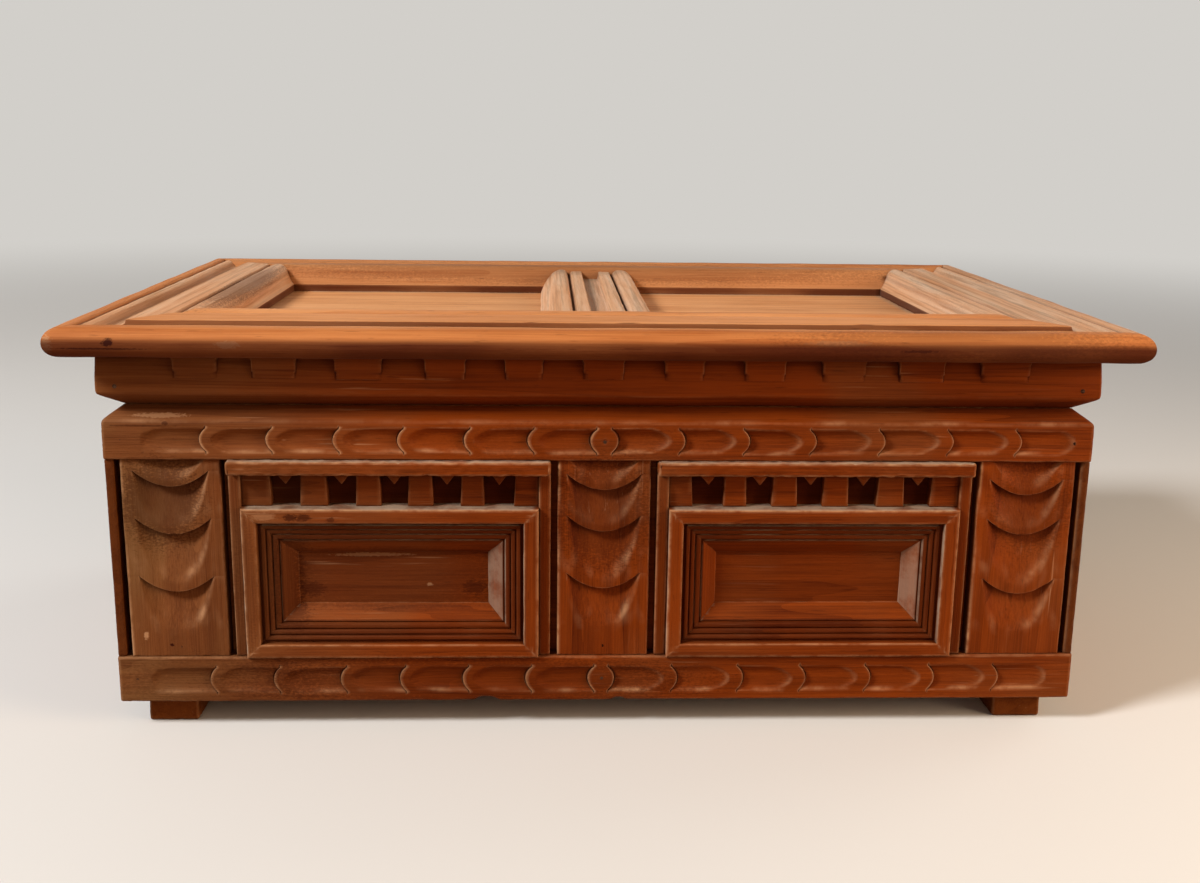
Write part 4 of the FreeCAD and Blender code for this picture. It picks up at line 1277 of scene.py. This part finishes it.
class CARVEDBOX_OT_lid_mouldings(bpy.types.Operator):
    """Run the mitred mouldings round the lid and the muntin across it"""
    bl_idname = "carved_box.lid_mouldings"
    bl_label = "Lid mouldings"

    def execute(self, context):
        low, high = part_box("front_moulding")
        wide = high.x - low.x
        side_low, side_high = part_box("left_moulding")
        deep = side_high.y - side_low.y
        soil = {"front": self.band_foot, "back": evenly_darker}
        dust = {"right": self.faded, "left": self.half_faded}
        for role, run, across, turn in (("front", wide, deep, 0), ("right", deep, wide, 90),
                                        ("back", wide, deep, 180), ("left", deep, wide, 270)):
            bm = mitred(LID_PROFILE, run, across, spacing=4 * MM)
            self.stand(bm, low.z, turn)
            wave(bm, amount=0.22 * MM, size=20 * MM, seed=turn)
            grain = "x" if role in ("front", "back") else "y"
            # under: painted shade on faces that look down, such as the nosing's underside
            finished(bm, f"{role}_moulding", "lid", "lid_pine", grain, under=3.2,
                     soil=soil.get(role, plain), dust=dust.get(role, plain))
        mirrored = tuple((-inset, height, radius) for inset, height, radius in reversed(MUNTIN_HALF))
        run = deep - 2 * (LID_PROFILE_WIDTH - MUNTIN_LAP) * MM
        bm = moulded(MUNTIN_HALF + mirrored, run, spacing=4 * MM)
        self.stand(bm, low.z, 90)
        self.splay(bm)
        wave(bm, amount=0.25 * MM, size=12 * MM, seed=3.0)
        finished(bm, "muntin", "lid", "lid_pine", "y", dust=self.faded)
        return {"FINISHED"}

    def stand(self, bm, level, turn):
        """Turn a moulding to its side of the lid, at its level."""
        turned = Matrix.Translation((0, 0, level)) @ Matrix.Rotation(math.radians(turn), 4, "Z")
        bmesh.ops.transform(bm, matrix=turned, verts=bm.verts)

    def splay(self, bm):
        """Let the muntin's left flank slope out to its foot, and move the right roll out a little."""
        roll_start, roll_width, height = 13.5, 9.0, 14.0
        left_slope, right_shift = 5.5, 2.4
        foot = min(vert.co.z for vert in bm.verts)
        for vert in bm.verts:
            outer = max(0.0, abs(vert.co.x) / MM - roll_start) / roll_width
            rise = (vert.co.z - foot) / MM / height
            vert.co.x += (right_shift if vert.co.x > 0 else left_slope * (rise - 1)) * outer * MM

    def band_foot(self, place, normal):
        """Grime and painted shade in the step up to the flat band of the front moulding."""
        step_start, step_end = 24.0, 26.75
        inset = place[:, 1] - place[:, 1].min()
        return np.where((inset > step_start) & (inset < step_end), 0.85, 0.0)

    def faded(self, place, normal):
        """The right moulding and the muntin have lost their stain."""
        return np.where(normal[:, 2] > -0.3, 0.75, 0.3)

    def half_faded(self, place, normal):
        """The left moulding has lost some of its stain."""
        nosing = -220.0
        return np.where((normal[:, 2] > 0.3) & (place[:, 0] > nosing), 0.6, 0.0)


class CARVEDBOX_OT_hinges(bpy.types.Operator):
    """Give the hinges old brass, and make their slotted screws"""
    bl_idname = "carved_box.hinges"
    bl_label = "Hinges"

    def execute(self, context):
        for side in SIDES:
            for part in ("case_leaf", "lid_leaf", "pin"):
                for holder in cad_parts[f"{side}_hinge_{part}"].material_slots:
                    holder.material = brass()
        for body in ("case", "lid"):
            self.screws(f"{body}_hinge_screws", body)
        return {"FINISHED"}

    def screws(self, node, body):
        """Two countersunk screws in a leaf of each hinge, their slots turned as they came to rest."""
        low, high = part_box(node)
        level = (low.z + high.z) / 2
        outwards = Matrix.Rotation(math.radians(-90), 4, "X")
        hinge_middle, from_middle = 0.125, 0.012
        rest_turn, turn_per_metre = 0.6, 40
        bm = bmesh.new()
        for hinge in (-hinge_middle, hinge_middle):
            for offset in (-from_middle, from_middle):
                along = hinge + offset
                turn = Matrix.Rotation(rest_turn + turn_per_metre * along, 4, "Z")
                head = self.screw_head()
                standing = Matrix.Translation((along, high.y, level)) @ outwards @ turn
                bmesh.ops.transform(head, matrix=standing, verts=head.verts)
                part = bpy.data.meshes.new("screw")
                head.to_mesh(part)
                head.free()
                bm.from_mesh(part)
                bpy.data.meshes.remove(part)
        placed(meshed(bm, f"metal_{node}"), node, body, brass(), crease=35)

    def screw_head(self):
        """A tapered screw head with a slot across it, its top at the origin."""
        radius, depth, taper = 2.5 * MM, 1.1 * MM, 0.55
        slot_half_width, slot_depth = 0.3 * MM, 0.6 * MM
        head = bmesh.new()
        bmesh.ops.create_circle(head, cap_ends=True, segments=32, radius=radius)
        for edge in (-slot_half_width, slot_half_width):
            slit(head, (0, edge, 0), (0, 1, 0))
        slot = [face for face in head.faces if abs(face.calc_center_median().y) < slot_half_width / 3]
        pushed(head, slot, (0, 0, -slot_depth))
        rims = [edge for edge in head.edges if edge.is_boundary]
        under = points(bmesh.ops.extrude_edge_only(head, edges=rims)["geom"])
        bmesh.ops.translate(head, vec=(0, 0, -depth), verts=under)
        bmesh.ops.scale(head, vec=(taper, taper, 1.0), verts=under)
        bmesh.ops.holes_fill(head, edges=[edge for edge in head.edges if edge.is_boundary], sides=0)
        return head


class CARVEDBOX_OT_nails(bpy.types.Operator):
    """Give the nails and brads old iron"""
    bl_idname = "carved_box.nails"
    bl_label = "Nails"

    def execute(self, context):
        for node in ("facing_brads", "carcass_nails", "lid_nails"):
            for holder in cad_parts[node].material_slots:
                holder.material = iron()
        return {"FINISHED"}


class CARVEDBOX_OT_stage(bpy.types.Operator):
    """Set up the plain floor, the soft light and the camera"""
    bl_idname = "carved_box.stage"
    bl_label = "Stage"

    def execute(self, context):
        stage = settings().stage
        scene = context.scene
        scene.view_settings.view_transform = "Standard"
        self.floor(stage)
        scene.world = self.surroundings(stage)
        self.lamp("key", stage.key_power)
        self.lamp("fill", stage.fill_power)
        self.lamp("front", stage.front_power)
        self.daylight(stage.back_strength)
        self.camera(scene)
        return {"FINISHED"}

    def surroundings(self, stage):
        """Weak even light from all round, seen as a plain pale grey."""
        n = Nodes(bpy.data.worlds.new("studio"))
        even = n.add("Background", {"Color": opaque(SKY_TINT), "Strength": stage.sky})
        pale = n.add("Background", {"Color": opaque(stage.surround)})
        mixed = n.add("MixShader", {0: n.seen(), 1: even.outputs[0], 2: pale.outputs[0]})
        return n.end(mixed, "OutputWorld")

    def floor(self, stage):
        """A plain floor that fades into the surround, so that no edge of it shows."""
        bm = bmesh.new()
        bmesh.ops.create_circle(bm, cap_ends=True, segments=96, radius=stage.floor_radius)
        mesh = bpy.data.meshes.new("floor")
        bm.to_mesh(mesh)
        bm.free()
        n = Nodes(bpy.data.materials.new("studio_floor"))
        place = n.add("TexCoord").outputs["Object"]
        clouds = n.ramp(n.cloud(place, 3.0, detail=3.0), 0.3, 0.7, 0.0, 0.08)
        shade = n.blend(clouds, opaque(stage.floor), opaque(stage.surround))
        seen = n.seen()
        shade = n.blend(seen, opaque(stage.bounce), shade)
        ground = n.add("BsdfPrincipled", {"Base Color": shade, "Roughness": 0.7})
        haze = n.add("Emission", {"Color": opaque(stage.surround)})
        far = n.times(n.ramp(n.vector("LENGTH", place)["Value"], *FLOOR_FADE), seen)
        mixed = n.add("MixShader", {0: far, 1: ground.outputs[0], 2: haze.outputs[0]})
        mesh.materials.append(n.end(mixed))
        floor = bpy.data.objects.new("floor", mesh)
        bpy.context.scene.collection.objects.link(floor)

    def lamp(self, name, watts):
        """A soft round lamp that the camera does not see, aimed at the middle of the box."""
        place, width, tint = LAMPS[name]
        light = bpy.data.lights.new(name, "AREA")
        light.shape = "DISK"
        light.size = width
        light.energy = watts
        light.color = tint
        lamp = bpy.data.objects.new(name, light)
        lamp.location = place
        lamp.visible_camera = False
        lamp.rotation_euler = (Vector(LAMP_AIM) - Vector(place)).to_track_quat("-Z", "Y").to_euler()
        bpy.context.scene.collection.objects.link(lamp)

    def daylight(self, sun_strength):
        """A wide, weak sun from the back right, on the back and the right end of the box."""
        light = bpy.data.lights.new("daylight", "SUN")
        light.energy = sun_strength
        light.angle = DAYLIGHT_ANGLE
        sun = bpy.data.objects.new("daylight", light)
        sun.rotation_euler = Vector(DAYLIGHT_HEADING).to_track_quat("-Z", "Y").to_euler()
        bpy.context.scene.collection.objects.link(sun)

    def camera(self, scene):
        """The photograph's view of the box."""
        level = math.cos(CAMERA_PITCH)
        ahead = Vector((math.sin(CAMERA_YAW) * level, math.cos(CAMERA_YAW) * level, -math.sin(CAMERA_PITCH)))
        right = Vector((math.cos(CAMERA_YAW), -math.sin(CAMERA_YAW), 0))
        up = right.cross(ahead)
        across = math.cos(CAMERA_ROLL) * right + math.sin(CAMERA_ROLL) * up
        above = math.cos(CAMERA_ROLL) * up - math.sin(CAMERA_ROLL) * right
        data = bpy.data.cameras.new("camera")
        data.sensor_fit = "HORIZONTAL"
        data.sensor_width = SENSOR_WIDTH
        data.lens = SENSOR_WIDTH * FOCAL_LENGTH_IN_PIXELS / PHOTO_WIDTH_IN_PIXELS
        camera = bpy.data.objects.new("camera", data)
        turn = Matrix((across, above, -ahead)).transposed().to_4x4()
        camera.matrix_world = Matrix.Translation(CAMERA_PLACE) @ turn
        bpy.context.scene.collection.objects.link(camera)
        scene.camera = camera


class CARVEDBOX_PT_sidebar(bpy.types.Panel):
    """Lists the pieces and the settings of the carved box"""
    bl_idname = "CARVEDBOX_PT_sidebar"
    bl_label = "Carved Box"
    bl_space_type = "VIEW_3D"
    bl_region_type = "UI"
    bl_category = "Carved Box"

    def draw(self, context):
        for operator in OPERATORS:
            self.layout.operator(operator.bl_idname)
        for group in (settings().finish, settings().carving, settings().stage):
            box = self.layout.box()
            for name in group.__annotations__:
                box.prop(group, name)


OPERATORS = (
    CARVEDBOX_OT_rails, CARVEDBOX_OT_pilasters, CARVEDBOX_OT_panels, CARVEDBOX_OT_carcass,
    CARVEDBOX_OT_feet, CARVEDBOX_OT_lid_tray, CARVEDBOX_OT_lid_mouldings, CARVEDBOX_OT_hinges,
    CARVEDBOX_OT_nails, CARVEDBOX_OT_stage,
)
GROUPS = (CarvedBoxFinish, CarvedBoxCarving, CarvedBoxStage, CarvedBoxSettings)
CLASSES = GROUPS + OPERATORS + (CARVEDBOX_PT_sidebar,)


def register():
    for kind in CLASSES:
        bpy.utils.register_class(kind)
    bpy.types.Scene.carved_box = PointerProperty(type=CarvedBoxSettings)


def unregister():
    del bpy.types.Scene.carved_box
    for kind in reversed(CLASSES):
        bpy.utils.unregister_class(kind)


def main():
    register()
    bpy.ops.carved_box.rails()
    bpy.ops.carved_box.pilasters()
    bpy.ops.carved_box.panels()
    bpy.ops.carved_box.carcass()
    bpy.ops.carved_box.feet()
    bpy.ops.carved_box.lid_tray()
    bpy.ops.carved_box.lid_mouldings()
    bpy.ops.carved_box.hinges()
    bpy.ops.carved_box.nails()
    bpy.ops.carved_box.stage()


if __name__ == "__main__":
    main()
